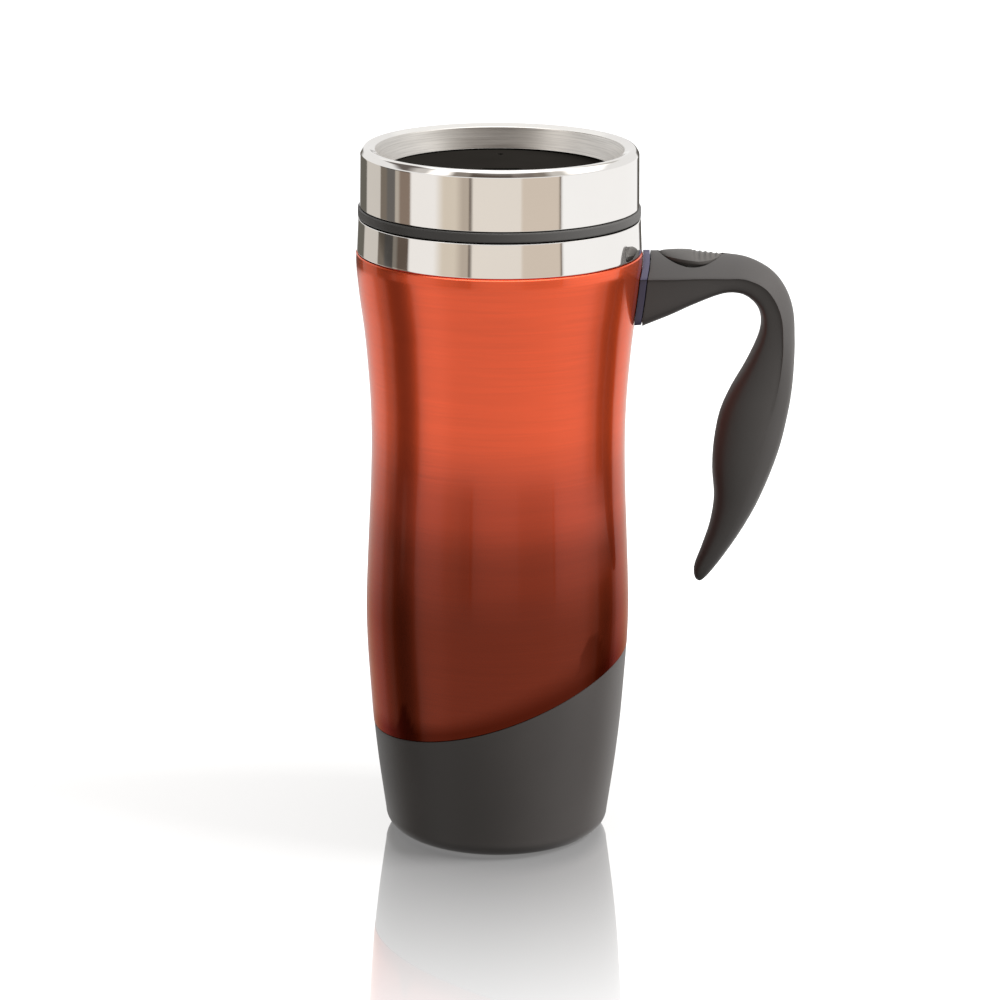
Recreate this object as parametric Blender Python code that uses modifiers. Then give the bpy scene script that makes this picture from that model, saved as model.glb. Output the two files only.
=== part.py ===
"""Insulated travel mug: steel liner, foam, red shell, rubbery boot, push-in lid and open handle.

Run with: blender --background --python part.py
Units are metres and +Z is up. The origin is on the mug's axis, on the surface that it stands on, and
the handle points along +X. Every object in the travel_mug collection is one closed solid.
"""

import math

import bmesh
import bpy
from mathutils import Vector

MM = 0.001
GAP = 0.3 * MM  # air left between pieces that touch
TURN_STEPS = 36  # facets round a large turned piece
FINE_STEPS = 16  # facets round a small one

# Outer surface of the body from the steel band down to the foot, as (radius, height).
BODY_OUTLINE = [
    (41.75, 178.0),
    (41.85, 174.0),
    (40.95, 165.0),
    (39.60, 155.0),
    (38.62, 145.0),
    (37.80, 133.0),
    (37.55, 121.0),
    (37.82, 108.0),
    (38.42, 94.0),
    (39.02, 80.0),
    (39.30, 69.0),
    (39.00, 58.0),
    (38.22, 46.0),
    (37.30, 34.0),
    (36.00, 22.0),
    (34.65, 12.0),
    (33.80, 6.0),
    (32.40, -4.0),
]

# The boot's upper edge is a wave round the body, highest under the handle.
WAVE_MEAN = 44.1 * MM
WAVE_SWING = 12.55 * MM
WAVE_SECOND = 1.75 * MM
WAVE_FADE_HIGH = 120 * MM  # the shell's facets bend less and less up to here
WAVE_FADE_LOW = 12 * MM  # and the boot's down to here

SHELL_SHOULDER = 177.7 * MM
SHELL_WALL = 2.0 * MM
NECK_RADIUS = 40.35 * MM
NECK_BORE = 38.6 * MM
NECK_TOP = 186.6 * MM
SLEEVE_WALL = 0.4 * MM
SLEEVE_TOP = 176.2 * MM
BOOT_INSET = 0.35 * MM
BOOT_INNER = 3.5 * MM  # the boot's inside wall, measured in from the body's surface
BOOT_LIP_RISE = 6.0 * MM
BOOT_BOTTOM = 0.4 * MM
BOOT_CORNER = 5.0 * MM
BOOT_FLOOR = 4.0 * MM
PAD_RADIUS = 26.0 * MM
PAD_THICK = 1.7 * MM
FOAM_INSET = 4.3 * MM
FOAM_TOP = 157.5 * MM

LINER_WALL = 0.5 * MM
LINER_FLOOR = 12.5 * MM
LINER_FOOT = 29.6 * MM
LINER_CORNER = 8.0 * MM
LINER_NECK = 31.5 * MM
LINER_SHOULDER = 170.0 * MM
LINER_MOUTH = 36.3 * MM
LINER_MOUTH_LOW = 177.5 * MM
LINER_TOP = 187.4 * MM

BAND_BOTTOM = 178.0 * MM
BAND_TOP = 187.9 * MM
BAND_LOW_RADIUS = 41.6 * MM
BAND_TOP_RADIUS = 41.15 * MM
BAND_WALL = 0.5 * MM

FLANGE_RADIUS = 41.2 * MM
FLANGE_BOTTOM = BAND_TOP + GAP
FLANGE_TOP = 191.0 * MM
LID_WALL_RADIUS = 39.3 * MM
LID_FLOOR = 201.3 * MM
LID_UNDERSIDE = 196.3 * MM
PLUG_RADIUS = 35.2 * MM
PLUG_BORE = 32.2 * MM
PLUG_BOTTOM = 178.3 * MM
SEAL_LOW = 180.2 * MM
SEAL_HIGH = 183.2 * MM
SEAL_INNER = 34.2 * MM
SEAL_OUTER = LINER_MOUTH - GAP

RING_BOTTOM = FLANGE_TOP + GAP
RING_RADIUS = 40.65 * MM
RING_SHOULDER_RADIUS = 40.4 * MM
RING_SHOULDER = 206.6 * MM
RING_CREST = (39.2 * MM, 208.7 * MM)  # the highest point of the rolled lip, as (radius, height)
RING_MOUTH = (36.6 * MM, 208.1 * MM)  # where the lip turns down into the funnel
RING_MOUTH_ROUND = 0.6 * MM
RING_THROAT = 33.2 * MM
RING_WALL = 0.8 * MM

SLIDER_HALF_WIDTH = 6.5 * MM
SLIDER_FRONT = -31.6 * MM
SLIDER_BACK = -4.0 * MM
SLIDER_TRAVEL = 7.0 * MM
SLIDER_TOP = 201.0 * MM
SLIDER_BOTTOM = 198.6 * MM
SIP_CENTRE = -27.9 * MM
SIP_HALF = (4.8 * MM, 1.95 * MM)
STEM_CENTRE = -15.0 * MM
STEM_HALF = (2.2 * MM, 2.6 * MM)
GRIP_HALF = (4.5 * MM, 1.8 * MM)
GRIP_CENTRE = -22.6 * MM
GRIP_RISE = 3.2 * MM
GASKET_HALF = (5.6 * MM, 2.7 * MM)
GASKET_THICK = 1.1 * MM
CLIP_HALF = (5.0 * MM, 5.0 * MM)
CLIP_THICK = 1.4 * MM
SLIDER_SCREW_SHANK = 1.0 * MM
SLIDER_SCREW_HEAD = (1.9 * MM, 1.1 * MM)  # radius and thickness
VENT_CENTRE = 26.0 * MM
VENT_RADIUS = 1.0 * MM

ROOT_TOP = 183.0 * MM  # heights past both ends of the handle's root, for the cutters that follow the shell
ROOT_BOTTOM = 149.0 * MM
BRACKET_REACH = 2.9 * MM  # how far the bracket's flange stands off the shell
BRACKET_BOTTOM = 157.0 * MM
RAIL_START = 42.6 * MM
RAIL_OUT = 45.5 * MM
RAIL_HALF = 4.0 * MM
RAIL_LOW = 158.5 * MM
RAIL_HIGH = 174.6 * MM
NOTCH_DEPTH = 0.9 * MM
NOTCH_LOW = 166.2 * MM
NOTCH_HIGH = 170.3 * MM
SCREW_HEIGHTS = {"bracket_screw_upper": 172.3 * MM, "bracket_screw_lower": 161.5 * MM}
SCREW_SHANK = 1.2 * MM
SCREW_HEAD = 2.2 * MM
SCREW_HEAD_THICK = 1.5 * MM

PIVOT_X = 63.6 * MM
PIVOT_Z = 173.6 * MM
PIN_RADIUS = 0.8 * MM
PIN_HALF_LENGTH = 3.6 * MM
POCKET_FLOOR = 172.4 * MM
BUTTON_UNDERSIDE = 175.4 * MM
SPRING_X = 53.0 * MM
SPRING_LOW = 166.6 * MM
SPRING_RADIUS = 2.2 * MM
SPRING_WIRE = 0.35 * MM
SPRING_TURNS = 5
SPRING_FLAT_TURN = 0.75  # how much of a turn lies flat at each end
SPRING_BORE = 2.9 * MM

# Boxes under the button as (low corner, high corner), and the slots in the handle that they move in.
LUG = ((61.7 * MM, -2.0 * MM, 171.7 * MM), (65.3 * MM, 2.0 * MM, 175.9 * MM))
LUG_SLOT = ((60.8 * MM, -2.3 * MM, 170.7 * MM), (66.6 * MM, 2.3 * MM, 181.0 * MM))
TONGUE = ((46.9 * MM, -1.8 * MM, 168.0 * MM), (48.6 * MM, 1.8 * MM, 176.2 * MM))
BARB = ((45.0 * MM, -1.8 * MM, 168.0 * MM), (47.4 * MM, 1.8 * MM, 169.9 * MM))
LATCH_SLOT = ((44.9 * MM, -2.1 * MM, 165.4 * MM), (49.9 * MM, 2.1 * MM, 176.2 * MM))

# Handle sections from the mug to the tip: outer edge (x, z), inner edge (x, z), half width in y.
HANDLE_SECTIONS = [
    (37.0, 177.4, 36.0, 153.4, 8.6),
    (44.0, 177.6, 42.3, 155.8, 8.6),
    (51.0, 177.7, 50.0, 159.1, 8.5),
    (58.0, 177.6, 57.2, 162.5, 8.2),
    (66.0, 176.9, 65.4, 165.6, 7.6),
    (73.0, 175.9, 70.4, 165.7, 7.1),
    (79.4, 172.6, 73.9, 163.7, 6.8),
    (83.8, 167.2, 76.1, 160.6, 6.6),
    (86.3, 160.3, 76.9, 156.6, 6.6),
    (87.1, 152.0, 76.0, 151.9, 6.7),
    (87.1, 144.0, 72.6, 144.4, 7.0),
    (86.6, 136.0, 68.3, 136.6, 7.4),
    (85.4, 128.4, 65.3, 129.2, 7.8),
    (83.4, 119.4, 63.8, 120.6, 8.0),
    (80.6, 110.4, 63.5, 112.2, 7.8),
    (76.8, 101.2, 64.2, 103.4, 7.0),
    (72.4, 93.0, 63.3, 95.4, 5.9),
    (67.4, 85.2, 61.0, 88.2, 4.6),
    (63.6, 80.0, 59.0, 82.6, 3.4),
    (61.6, 77.7, 58.6, 79.7, 2.3),
    (60.5, 77.1, 59.4, 77.9, 1.0),
]
HANDLE_ROUNDNESS = 2.5  # exponent of the sections: 2 is an ellipse, more is squarer
HANDLE_POINTS = 20

# Thumb button sections along x: (x, height of the top, drop at the sides, half width).
BUTTON_SECTIONS = [
    (46.8, 177.6, 0.3, 0.7),
    (47.8, 178.0, 0.9, 2.0),
    (49.8, 178.2, 1.5, 3.5),
    (52.6, 178.3, 2.1, 4.7),
    (55.5, 178.2, 2.3, 5.28),
    (55.9, 177.7, 1.9, 5.32),
    (56.6, 178.0, 2.1, 5.33),
    (57.6, 177.4, 1.6, 5.2),
    (58.5, 177.7, 1.8, 5.0),
    (59.5, 177.2, 1.4, 4.6),
    (60.4, 177.5, 1.6, 4.2),
    (61.4, 177.0, 1.1, 3.6),
    (62.3, 177.3, 1.2, 3.0),
    (63.3, 176.8, 0.8, 2.2),
    (64.2, 177.0, 0.6, 1.5),
    (65.0, 176.7, 0.3, 0.7),
]
BUTTON_ROOM = 0.6 * MM  # from the button to the walls of its pocket

# ---------------------------------------------------------------- small tools


def clear_scene():
    for old in list(bpy.data.objects):
        bpy.data.objects.remove(old)


def new_collection(name):
    made = bpy.data.collections.new(name)
    bpy.context.scene.collection.children.link(made)
    return made


def finish(name, colour, roughness, metallic=0.0):
    """A material with one colour, roughness and metallic value."""
    made = bpy.data.materials.new(name)
    made.use_nodes = True
    shader = made.node_tree.nodes["Principled BSDF"]
    shader.inputs["Base Color"].default_value = (*colour, 1.0)
    shader.inputs["Roughness"].default_value = roughness
    shader.inputs["Metallic"].default_value = metallic
    return made


def add_object(name, mesh, collection, material=None):
    made = bpy.data.objects.new(name, mesh)
    collection.objects.link(made)
    if material:
        mesh.materials.append(material)
    return made


def as_cutter(made):
    made.hide_render = True
    made.display_type = "WIRE"
    return made


def combine(target, others, operation):
    for other in others:
        step = target.modifiers.new(operation.lower() + "_" + other.name, "BOOLEAN")
        step.operation = operation
        step.object = as_cutter(other)
        step.solver = "EXACT"


def cut(target, *others):
    combine(target, others, "DIFFERENCE")


def join(target, *others):
    combine(target, others, "UNION")


def smooth(made, angle=40):
    made.data.shade_smooth()
    made.data.set_sharp_from_angle(angle=math.radians(angle))


def turned(name, outline, collection, material=None, steps=TURN_STEPS):
    """A turned solid from (radius, height) points: a closed loop, or a line from axis to axis."""
    count = len(outline)
    area = sum(a[0] * b[1] - b[0] * a[1] for a, b in zip(outline, outline[1:] + outline[:1]))
    points = outline if area < 0 else outline[::-1]
    open_line = points[0][0] == 0 and points[-1][0] == 0
    edges = [(i, (i + 1) % count) for i in range(count - open_line)]
    mesh = bpy.data.meshes.new(name)
    mesh.from_pydata([(r, 0, z) for r, z in points], edges, [])
    made = add_object(name, mesh, collection, material)
    screw = made.modifiers.new("turn", "SCREW")
    screw.steps = screw.render_steps = steps
    screw.use_merge_vertices = True
    screw.merge_threshold = 0.00001
    return made


def from_bmesh(name, shape, collection, material=None):
    mesh = bpy.data.meshes.new(name)
    shape.to_mesh(mesh)
    shape.free()
    return add_object(name, mesh, collection, material)


def block(name, low, high, collection, material=None):
    """A box between two corners."""
    shape = bmesh.new()
    bmesh.ops.create_cube(shape, size=1.0)
    bmesh.ops.scale(shape, vec=Vector(high) - Vector(low), verts=shape.verts)
    made = from_bmesh(name, shape, collection, material)
    made.location = (Vector(high) + Vector(low)) / 2
    return made


def rod(name, start, end, radius, collection, material=None, segments=FINE_STEPS):
    """A plain cylinder from one point to another."""
    axis = Vector(end) - Vector(start)
    shape = bmesh.new()
    bmesh.ops.create_cone(
        shape, cap_ends=True, segments=segments, radius1=radius, radius2=radius, depth=axis.length
    )
    made = from_bmesh(name, shape, collection, material)
    made.rotation_euler = axis.to_track_quat("Z", "Y").to_euler()
    made.location = (Vector(start) + Vector(end)) / 2
    smooth(made)
    return made


def plate(name, outline, low, high, collection, material=None):
    """A flat piece: an outline of (x, y) points, filled and thickened between two heights."""
    curve = bpy.data.curves.new(name, "CURVE")
    curve.dimensions = "2D"
    curve.fill_mode = "BOTH"
    curve.extrude = (high - low) / 2
    spline = curve.splines.new("POLY")
    spline.points.add(len(outline) - 1)
    for point, (x, y) in zip(spline.points, outline):
        point.co = (x, y, 0, 1)
    spline.use_cyclic_u = True
    drawn = add_object(name + "_outline", curve, collection)
    drawn.location.z = (low + high) / 2
    return to_mesh(drawn, name, collection, material)


def to_mesh(drawn, name, collection, material=None):
    """Replaces a curve by a welded mesh in the same place."""
    graph = bpy.context.evaluated_depsgraph_get()
    mesh = bpy.data.meshes.new_from_object(drawn.evaluated_get(graph))
    shape = bmesh.new()
    shape.from_mesh(mesh)
    bmesh.ops.remove_doubles(shape, verts=shape.verts, dist=0.000001)
    bmesh.ops.recalc_face_normals(shape, faces=shape.faces)
    shape.to_mesh(mesh)
    shape.free()
    mesh.materials.clear()
    made = add_object(name, mesh, collection, material)
    made.matrix_world = drawn.matrix_world
    bpy.data.objects.remove(drawn)
    return made


def rounded_rectangle(low, high, corner, parts=4):
    """Outline points of a rectangle with round corners."""
    centres = [
        (high[0] - corner, high[1] - corner),
        (low[0] + corner, high[1] - corner),
        (low[0] + corner, low[1] + corner),
        (high[0] - corner, low[1] + corner),
    ]
    return [p for i, c in enumerate(centres) for p in arc(c, corner, 90 * i, 90 * i + 90, parts)]


def arc(centre, radius, start, end, parts):
    """Points on an arc between two angles in degrees."""
    angles = [math.radians(start + (end - start) * i / parts) for i in range(parts + 1)]
    return [(centre[0] + radius * math.cos(a), centre[1] + radius * math.sin(a)) for a in angles]


def spline_through(points, parts):
    """Catmull-Rom points through the given ones, with a number of parts in each span."""
    last = len(points) - 1
    found = []
    for i in range(last):
        corners = (points[max(i - 1, 0)], points[i], points[i + 1], points[min(i + 2, last)])
        for step in range(parts):
            found.append(tuple(catmull_rom(*values, step / parts) for values in zip(*corners)))
    return found + [points[last]]


def catmull_rom(a, b, c, d, t):
    straight, curved, turned_back = c - a, 2 * a - 5 * b + 4 * c - d, 3 * b - a - 3 * c + d
    return 0.5 * (2 * b + straight * t + curved * t**2 + turned_back * t**3)


def loft(name, rings, collection, material=None):
    """A solid through rings with equal numbers of points, closed at both ends."""
    shape = bmesh.new()
    made = [[shape.verts.new(p) for p in ring] for ring in rings]
    for ring, following in zip(made, made[1:]):
        for i, here in enumerate(ring):
            shape.faces.new((ring[i - 1], here, following[i], following[i - 1]))
    shape.faces.new(made[0])
    shape.faces.new(made[-1])
    bmesh.ops.recalc_face_normals(shape, faces=shape.faces)
    return from_bmesh(name, shape, collection, material)


# ---------------------------------------------------------------- the body's surface and the boot's wave

FINE_OUTLINE = spline_through(BODY_OUTLINE, 8)


def body_radius(height):
    """Outer radius of the body at a height."""
    z = height / MM
    for (r1, z1), (r2, z2) in zip(FINE_OUTLINE, FINE_OUTLINE[1:]):
        if z2 <= z <= z1:
            return MM * (r1 + (r2 - r1) * (z1 - z) / (z1 - z2))
    return MM * FINE_OUTLINE[0 if z > FINE_OUTLINE[0][1] else -1][0]


def body_line(top, bottom, inset, parts):
    """Points down the body's surface between two heights, moved inwards."""
    heights = [top + (bottom - top) * i / parts for i in range(parts + 1)]
    return [(body_radius(z) - inset, z) for z in heights]


def body_wall(top, bottom, outer_inset, inner_inset, parts):
    """Closed outline of a wall that follows the body."""
    return body_line(top, bottom, outer_inset, parts) + body_line(bottom, top, inner_inset, parts)


def wave_height(angle):
    """Height of the boot's edge, with the angle measured from the handle."""
    return WAVE_MEAN + WAVE_SWING * math.cos(angle) + WAVE_SECOND * math.cos(2 * angle)


def follow_wave(made, full, still):
    """Moves a turned piece's edge onto the boot's wave: fully at one height, not at all at another."""
    graph = bpy.context.evaluated_depsgraph_get()
    mesh = bpy.data.meshes.new_from_object(made.evaluated_get(graph))
    for vertex in mesh.vertices:
        x, y, z = vertex.co
        share = min(max((z - still) / (full - still), 0), 1)
        lift = share * (wave_height(math.atan2(y, x)) - WAVE_MEAN)
        if lift:
            radius = math.hypot(x, y)
            spread = 1 + (body_radius(z + lift) - body_radius(z)) / radius
            vertex.co = (x * spread, y * spread, z + lift)
    made.modifiers.clear()
    made.data = mesh


# ---------------------------------------------------------------- body of the mug


def make_outer_shell(parts, tools, material):
    neck = [(NECK_RADIUS, NECK_TOP), (NECK_RADIUS, SHELL_SHOULDER)]
    outside = body_line(SHELL_SHOULDER, WAVE_MEAN, 0, 12)
    inside = body_line(WAVE_MEAN, 176.8 * MM, SHELL_WALL, 10)
    bore = [(NECK_BORE, SHELL_SHOULDER), (NECK_BORE, NECK_TOP)]
    shell = turned("outer_shell", neck + outside + inside + bore, parts, material)
    follow_wave(shell, WAVE_MEAN, WAVE_FADE_HIGH)
    cut(shell, *screw_holes("shell", 1.6 * MM, 46 * MM, tools))
    smooth(shell, 25)


def make_steel_sleeve(parts, tools, material):
    inset = SHELL_WALL + GAP
    bottom = WAVE_MEAN + BOOT_LIP_RISE + GAP
    outline = body_wall(SLEEVE_TOP, bottom, inset, inset + SLEEVE_WALL, 10)
    sleeve = turned("steel_sleeve", outline, parts, material)
    follow_wave(sleeve, bottom, WAVE_FADE_HIGH)
    cut(sleeve, *screw_holes("sleeve", SCREW_HEAD + 0.4 * MM, 46 * MM, tools))
    smooth(sleeve, 25)


def screw_holes(owner, radius, reach, tools):
    """Cutters for the bracket's screws, from inside the mug out to a distance from its axis."""
    return [
        rod(f"{owner}_{name}_hole", (34 * MM, 0, z), (reach, 0, z), radius, tools)
        for name, z in SCREW_HEIGHTS.items()
    ]


def make_base_boot(parts, material):
    """A cup whose thin inner lip rises inside the outer shell, past the wavy edge of its outer face."""
    edge, lip_top = WAVE_MEAN - GAP, WAVE_MEAN + BOOT_LIP_RISE
    corner_z = BOOT_BOTTOM + BOOT_CORNER
    corner = (body_radius(corner_z) - BOOT_INSET - BOOT_CORNER, corner_z)
    pad_top = PAD_THICK + GAP
    outline = [(0, BOOT_FLOOR)]
    outline += body_line(BOOT_FLOOR, lip_top, BOOT_INNER, 6)
    outline += body_line(lip_top, edge, SHELL_WALL + GAP, 2)
    outline += body_line(edge, corner_z, BOOT_INSET, 5)[:-1]
    outline += arc(corner, BOOT_CORNER, 0, -90, 4)
    outline += [(PAD_RADIUS + GAP, BOOT_BOTTOM), (PAD_RADIUS + GAP, pad_top), (0, pad_top)]
    boot = turned("base_boot", outline, parts, material)
    follow_wave(boot, edge, WAVE_FADE_LOW)
    smooth(boot, 30)


def liner_line(offset, top):
    """The liner's inside from the axis up to a height, moved outwards by an offset."""
    slope = (LINER_NECK - LINER_FOOT) / (LINER_SHOULDER - LINER_FLOOR)
    centre = (LINER_FOOT - LINER_CORNER, LINER_FLOOR + LINER_CORNER)
    corner = arc(centre, LINER_CORNER + offset, -90, 0, 4)
    return [(0, LINER_FLOOR - offset)] + corner + [(LINER_FOOT + offset + slope * (top - LINER_FLOOR), top)]


def make_inner_liner(parts, material):
    inside = liner_line(0, LINER_SHOULDER)
    inside += [(LINER_MOUTH, LINER_MOUTH_LOW), (LINER_MOUTH, LINER_TOP), (NECK_RADIUS, LINER_TOP)]
    outside = liner_line(LINER_WALL, LINER_SHOULDER)
    outside += [(LINER_MOUTH + LINER_WALL, LINER_MOUTH_LOW), (LINER_MOUTH + LINER_WALL, NECK_TOP + GAP)]
    outside += [(NECK_RADIUS, NECK_TOP + GAP)]
    smooth(turned("inner_liner", inside + outside[::-1], parts, material), 25)


def make_foam(parts, material):
    outside = body_line(FOAM_TOP, BOOT_FLOOR + 0.6 * MM, FOAM_INSET, 7)
    inside = liner_line(LINER_WALL + GAP, FOAM_TOP)
    bottom = [(0, BOOT_FLOOR + 0.6 * MM)]
    turned("foam_insulation", inside + outside + bottom, parts, material, 32)


def make_rings(parts, steel, rubber):
    """The polished band over the shell's neck, and the ring that seals the liner into it."""
    band = [(BAND_TOP_RADIUS, BAND_TOP), (BAND_LOW_RADIUS, BAND_BOTTOM)]
    band += [(r - BAND_WALL, z) for r, z in reversed(band)]
    turned("rim_band", band, parts, steel)
    low, high = NECK_TOP - 3.0 * MM, NECK_TOP - 0.4 * MM
    inner, outer = LINER_MOUTH + LINER_WALL + GAP, NECK_BORE - GAP
    turned("rim_seal", [(outer, high), (outer, low), (inner, low), (inner, high)], parts, rubber, 32)


def make_foot_pad(parts, material):
    edge = 0.5 * MM
    outline = [(0, PAD_THICK), (PAD_RADIUS, PAD_THICK), (PAD_RADIUS, edge), (PAD_RADIUS - edge, 0), (0, 0)]
    turned("foot_pad", outline, parts, material)


# ---------------------------------------------------------------- handle and its button


def handle_rings(sections):
    rings = []
    for outer_x, outer_z, inner_x, inner_z, half_width in sections:
        outer, inner = Vector((outer_x, 0, outer_z)), Vector((inner_x, 0, inner_z))
        middle, reach = (outer + inner) / 2, (outer - inner) / 2
        ring = []
        for i in range(HANDLE_POINTS):
            angle = 2 * math.pi * i / HANDLE_POINTS
            across, along = (squared(f(angle)) for f in (math.sin, math.cos))
            ring.append((middle + reach * along + Vector((0, half_width * across, 0))) * MM)
        rings.append(ring)
    return rings


def squared(value):
    return math.copysign(abs(value) ** (2 / HANDLE_ROUNDNESS), value)


def bracket_zone(name, inner, outer, tools):
    """A turned wall round the body between two distances from its surface, behind the handle's root."""
    wall = body_wall(ROOT_TOP, BRACKET_BOTTOM, -outer, -inner, 6)
    return turned(name, wall, tools, steps=2 * TURN_STEPS)


def make_handle(parts, tools, material):
    handle = loft("handle", handle_rings(HANDLE_SECTIONS), parts, material)
    socket_low = (30 * MM, -RAIL_HALF - GAP, RAIL_LOW - GAP)
    socket_high = (RAIL_OUT + GAP, RAIL_HALF + GAP, RAIL_HIGH + GAP)
    spring_bottom, spring_top = (SPRING_X, 0, SPRING_LOW - GAP), (SPRING_X, 0, BUTTON_UNDERSIDE)
    cut(
        handle,
        turned("mug_side", body_core(BRACKET_REACH + GAP), tools, steps=2 * TURN_STEPS),
        block("rail_socket", socket_low, socket_high, tools),
        plate("button_pocket", button_outline(BUTTON_ROOM), POCKET_FLOOR, ROOT_TOP, tools),
        block("latch_slot", *LATCH_SLOT, tools),
        block("lug_slot", *LUG_SLOT, tools),
        rod("spring_bore", spring_bottom, spring_top, SPRING_BORE, tools),
        pivot_rod("handle_pin_bore", PIN_HALF_LENGTH + GAP, PIN_RADIUS + GAP, tools),
    )
    smooth(handle, 35)


def body_core(offset):
    """A solid core as large as the body moved outwards, where the handle meets it."""
    return [(0, ROOT_TOP)] + body_line(ROOT_TOP, ROOT_BOTTOM, -offset, 6) + [(0, ROOT_BOTTOM)]


def make_handle_bracket(parts, tools, material):
    bracket = loft("handle_bracket", handle_rings(HANDLE_SECTIONS[:3]), parts, material)
    combine(bracket, [bracket_zone("bracket_flange_zone", GAP, BRACKET_REACH, tools)], "INTERSECT")
    join(bracket, block("rail", (RAIL_START, -RAIL_HALF, RAIL_LOW), (RAIL_OUT, RAIL_HALF, RAIL_HIGH), tools))
    notch_low = (RAIL_OUT - NOTCH_DEPTH, -RAIL_HALF - GAP, NOTCH_LOW)
    notch_high = (RAIL_OUT + GAP, RAIL_HALF + GAP, NOTCH_HIGH)
    cut(bracket, block("latch_notch", notch_low, notch_high, tools))
    cut(bracket, *screw_holes("bracket", SCREW_SHANK + GAP, RAIL_OUT - 0.5 * MM, tools))


def make_bracket_screws(parts, tools, material):
    for name, z in SCREW_HEIGHTS.items():
        head_face = body_radius(z) - SHELL_WALL - 0.7 * MM
        length = RAIL_OUT - 0.9 * MM - head_face
        head_back = SCREW_HEAD_THICK
        outline = [(0, head_back), (SCREW_HEAD - GAP, head_back), (SCREW_HEAD, head_back - GAP)]
        outline += [(SCREW_HEAD, 0), (SCREW_SHANK, 0), (SCREW_SHANK, -length), (0, -length - 0.3 * MM)]
        screw = turned(name, outline, parts, material, FINE_STEPS)
        socket = rod(name + "_drive", (0, 0, 0.6 * MM), (0, 0, 3 * MM), 1.0 * MM, tools, segments=6)
        for piece in (screw, socket):
            piece.rotation_euler.y = math.radians(-90)
        screw.location = (head_face, 0, z)
        socket.location = (head_face - 1.8 * MM, 0, z)
        cut(screw, socket)


def button_outline(margin):
    """The button's outline from above, widened by a margin."""
    far_side = [(x * MM, width * MM + margin) for x, _, _, width in BUTTON_SECTIONS]
    front = (BUTTON_SECTIONS[0][0] * MM - 2 * margin, 0)
    back = (BUTTON_SECTIONS[-1][0] * MM + margin, 0)
    near_side = [(x, -y) for x, y in reversed(far_side)]
    return [front] + far_side + [back] + near_side


def make_thumb_button(parts, tools, material):
    rings = []
    for x, top, drop, half_width in BUTTON_SECTIONS:
        crown = arc((0, top - drop), 1, 0, 180, 8)
        ring = [(x * MM, half_width * y * MM, (top - drop + drop * (z - top + drop)) * MM) for y, z in crown]
        ring += [(x * MM, -half_width * MM, BUTTON_UNDERSIDE), (x * MM, half_width * MM, BUTTON_UNDERSIDE)]
        rings.append(ring)
    button = loft("thumb_button", rings, parts, material)
    join(button, block("pivot_lug", *LUG, tools), block("latch_tongue", *TONGUE, tools))
    join(button, block("latch_barb", *BARB, tools))
    cut(button, pivot_rod("button_pin_bore", 4.0 * MM, PIN_RADIUS + GAP, tools))
    hinge = bpy.data.objects.new("button_hinge", None)
    parts.objects.link(hinge)
    hinge.location = (PIVOT_X, 0, PIVOT_Z)
    bpy.context.view_layer.update()
    button.parent = hinge
    button.matrix_parent_inverse = hinge.matrix_world.inverted()


def pivot_rod(name, half_length, radius, collection, material=None):
    ends = ((PIVOT_X, -half_length, PIVOT_Z), (PIVOT_X, half_length, PIVOT_Z))
    return rod(name, *ends, radius, collection, material)


def make_button_spring(parts, material):
    """A coil whose ends lie flat, between the pocket's bore and the button."""
    low = SPRING_LOW + SPRING_WIRE
    rise = BUTTON_UNDERSIDE - GAP - SPRING_WIRE - low
    flat_pitch = 2.3 * SPRING_WIRE  # the flat turns lie just clear of each other
    sloping_rise = rise - 2 * SPRING_FLAT_TURN * flat_pitch
    steps = 12 * SPRING_TURNS
    points = []
    for i in range(steps + 1):
        turns = SPRING_TURNS * i / steps
        sloping = min(max(turns - SPRING_FLAT_TURN, 0), SPRING_TURNS - 2 * SPRING_FLAT_TURN)
        flat = turns - sloping
        height = low + flat * flat_pitch + sloping / (SPRING_TURNS - 2 * SPRING_FLAT_TURN) * sloping_rise
        angle = 2 * math.pi * turns
        points.append((SPRING_X + SPRING_RADIUS * math.cos(angle), SPRING_RADIUS * math.sin(angle), height))
    curve = bpy.data.curves.new("button_spring", "CURVE")
    curve.dimensions = "3D"
    curve.bevel_depth = SPRING_WIRE
    curve.bevel_resolution = 2
    curve.use_fill_caps = True
    spline = curve.splines.new("POLY")
    spline.points.add(steps)
    for point, place in zip(spline.points, points):
        point.co = (*place, 1)
    add_object("button_spring", curve, parts, material)


# ---------------------------------------------------------------- lid and its slider


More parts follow.
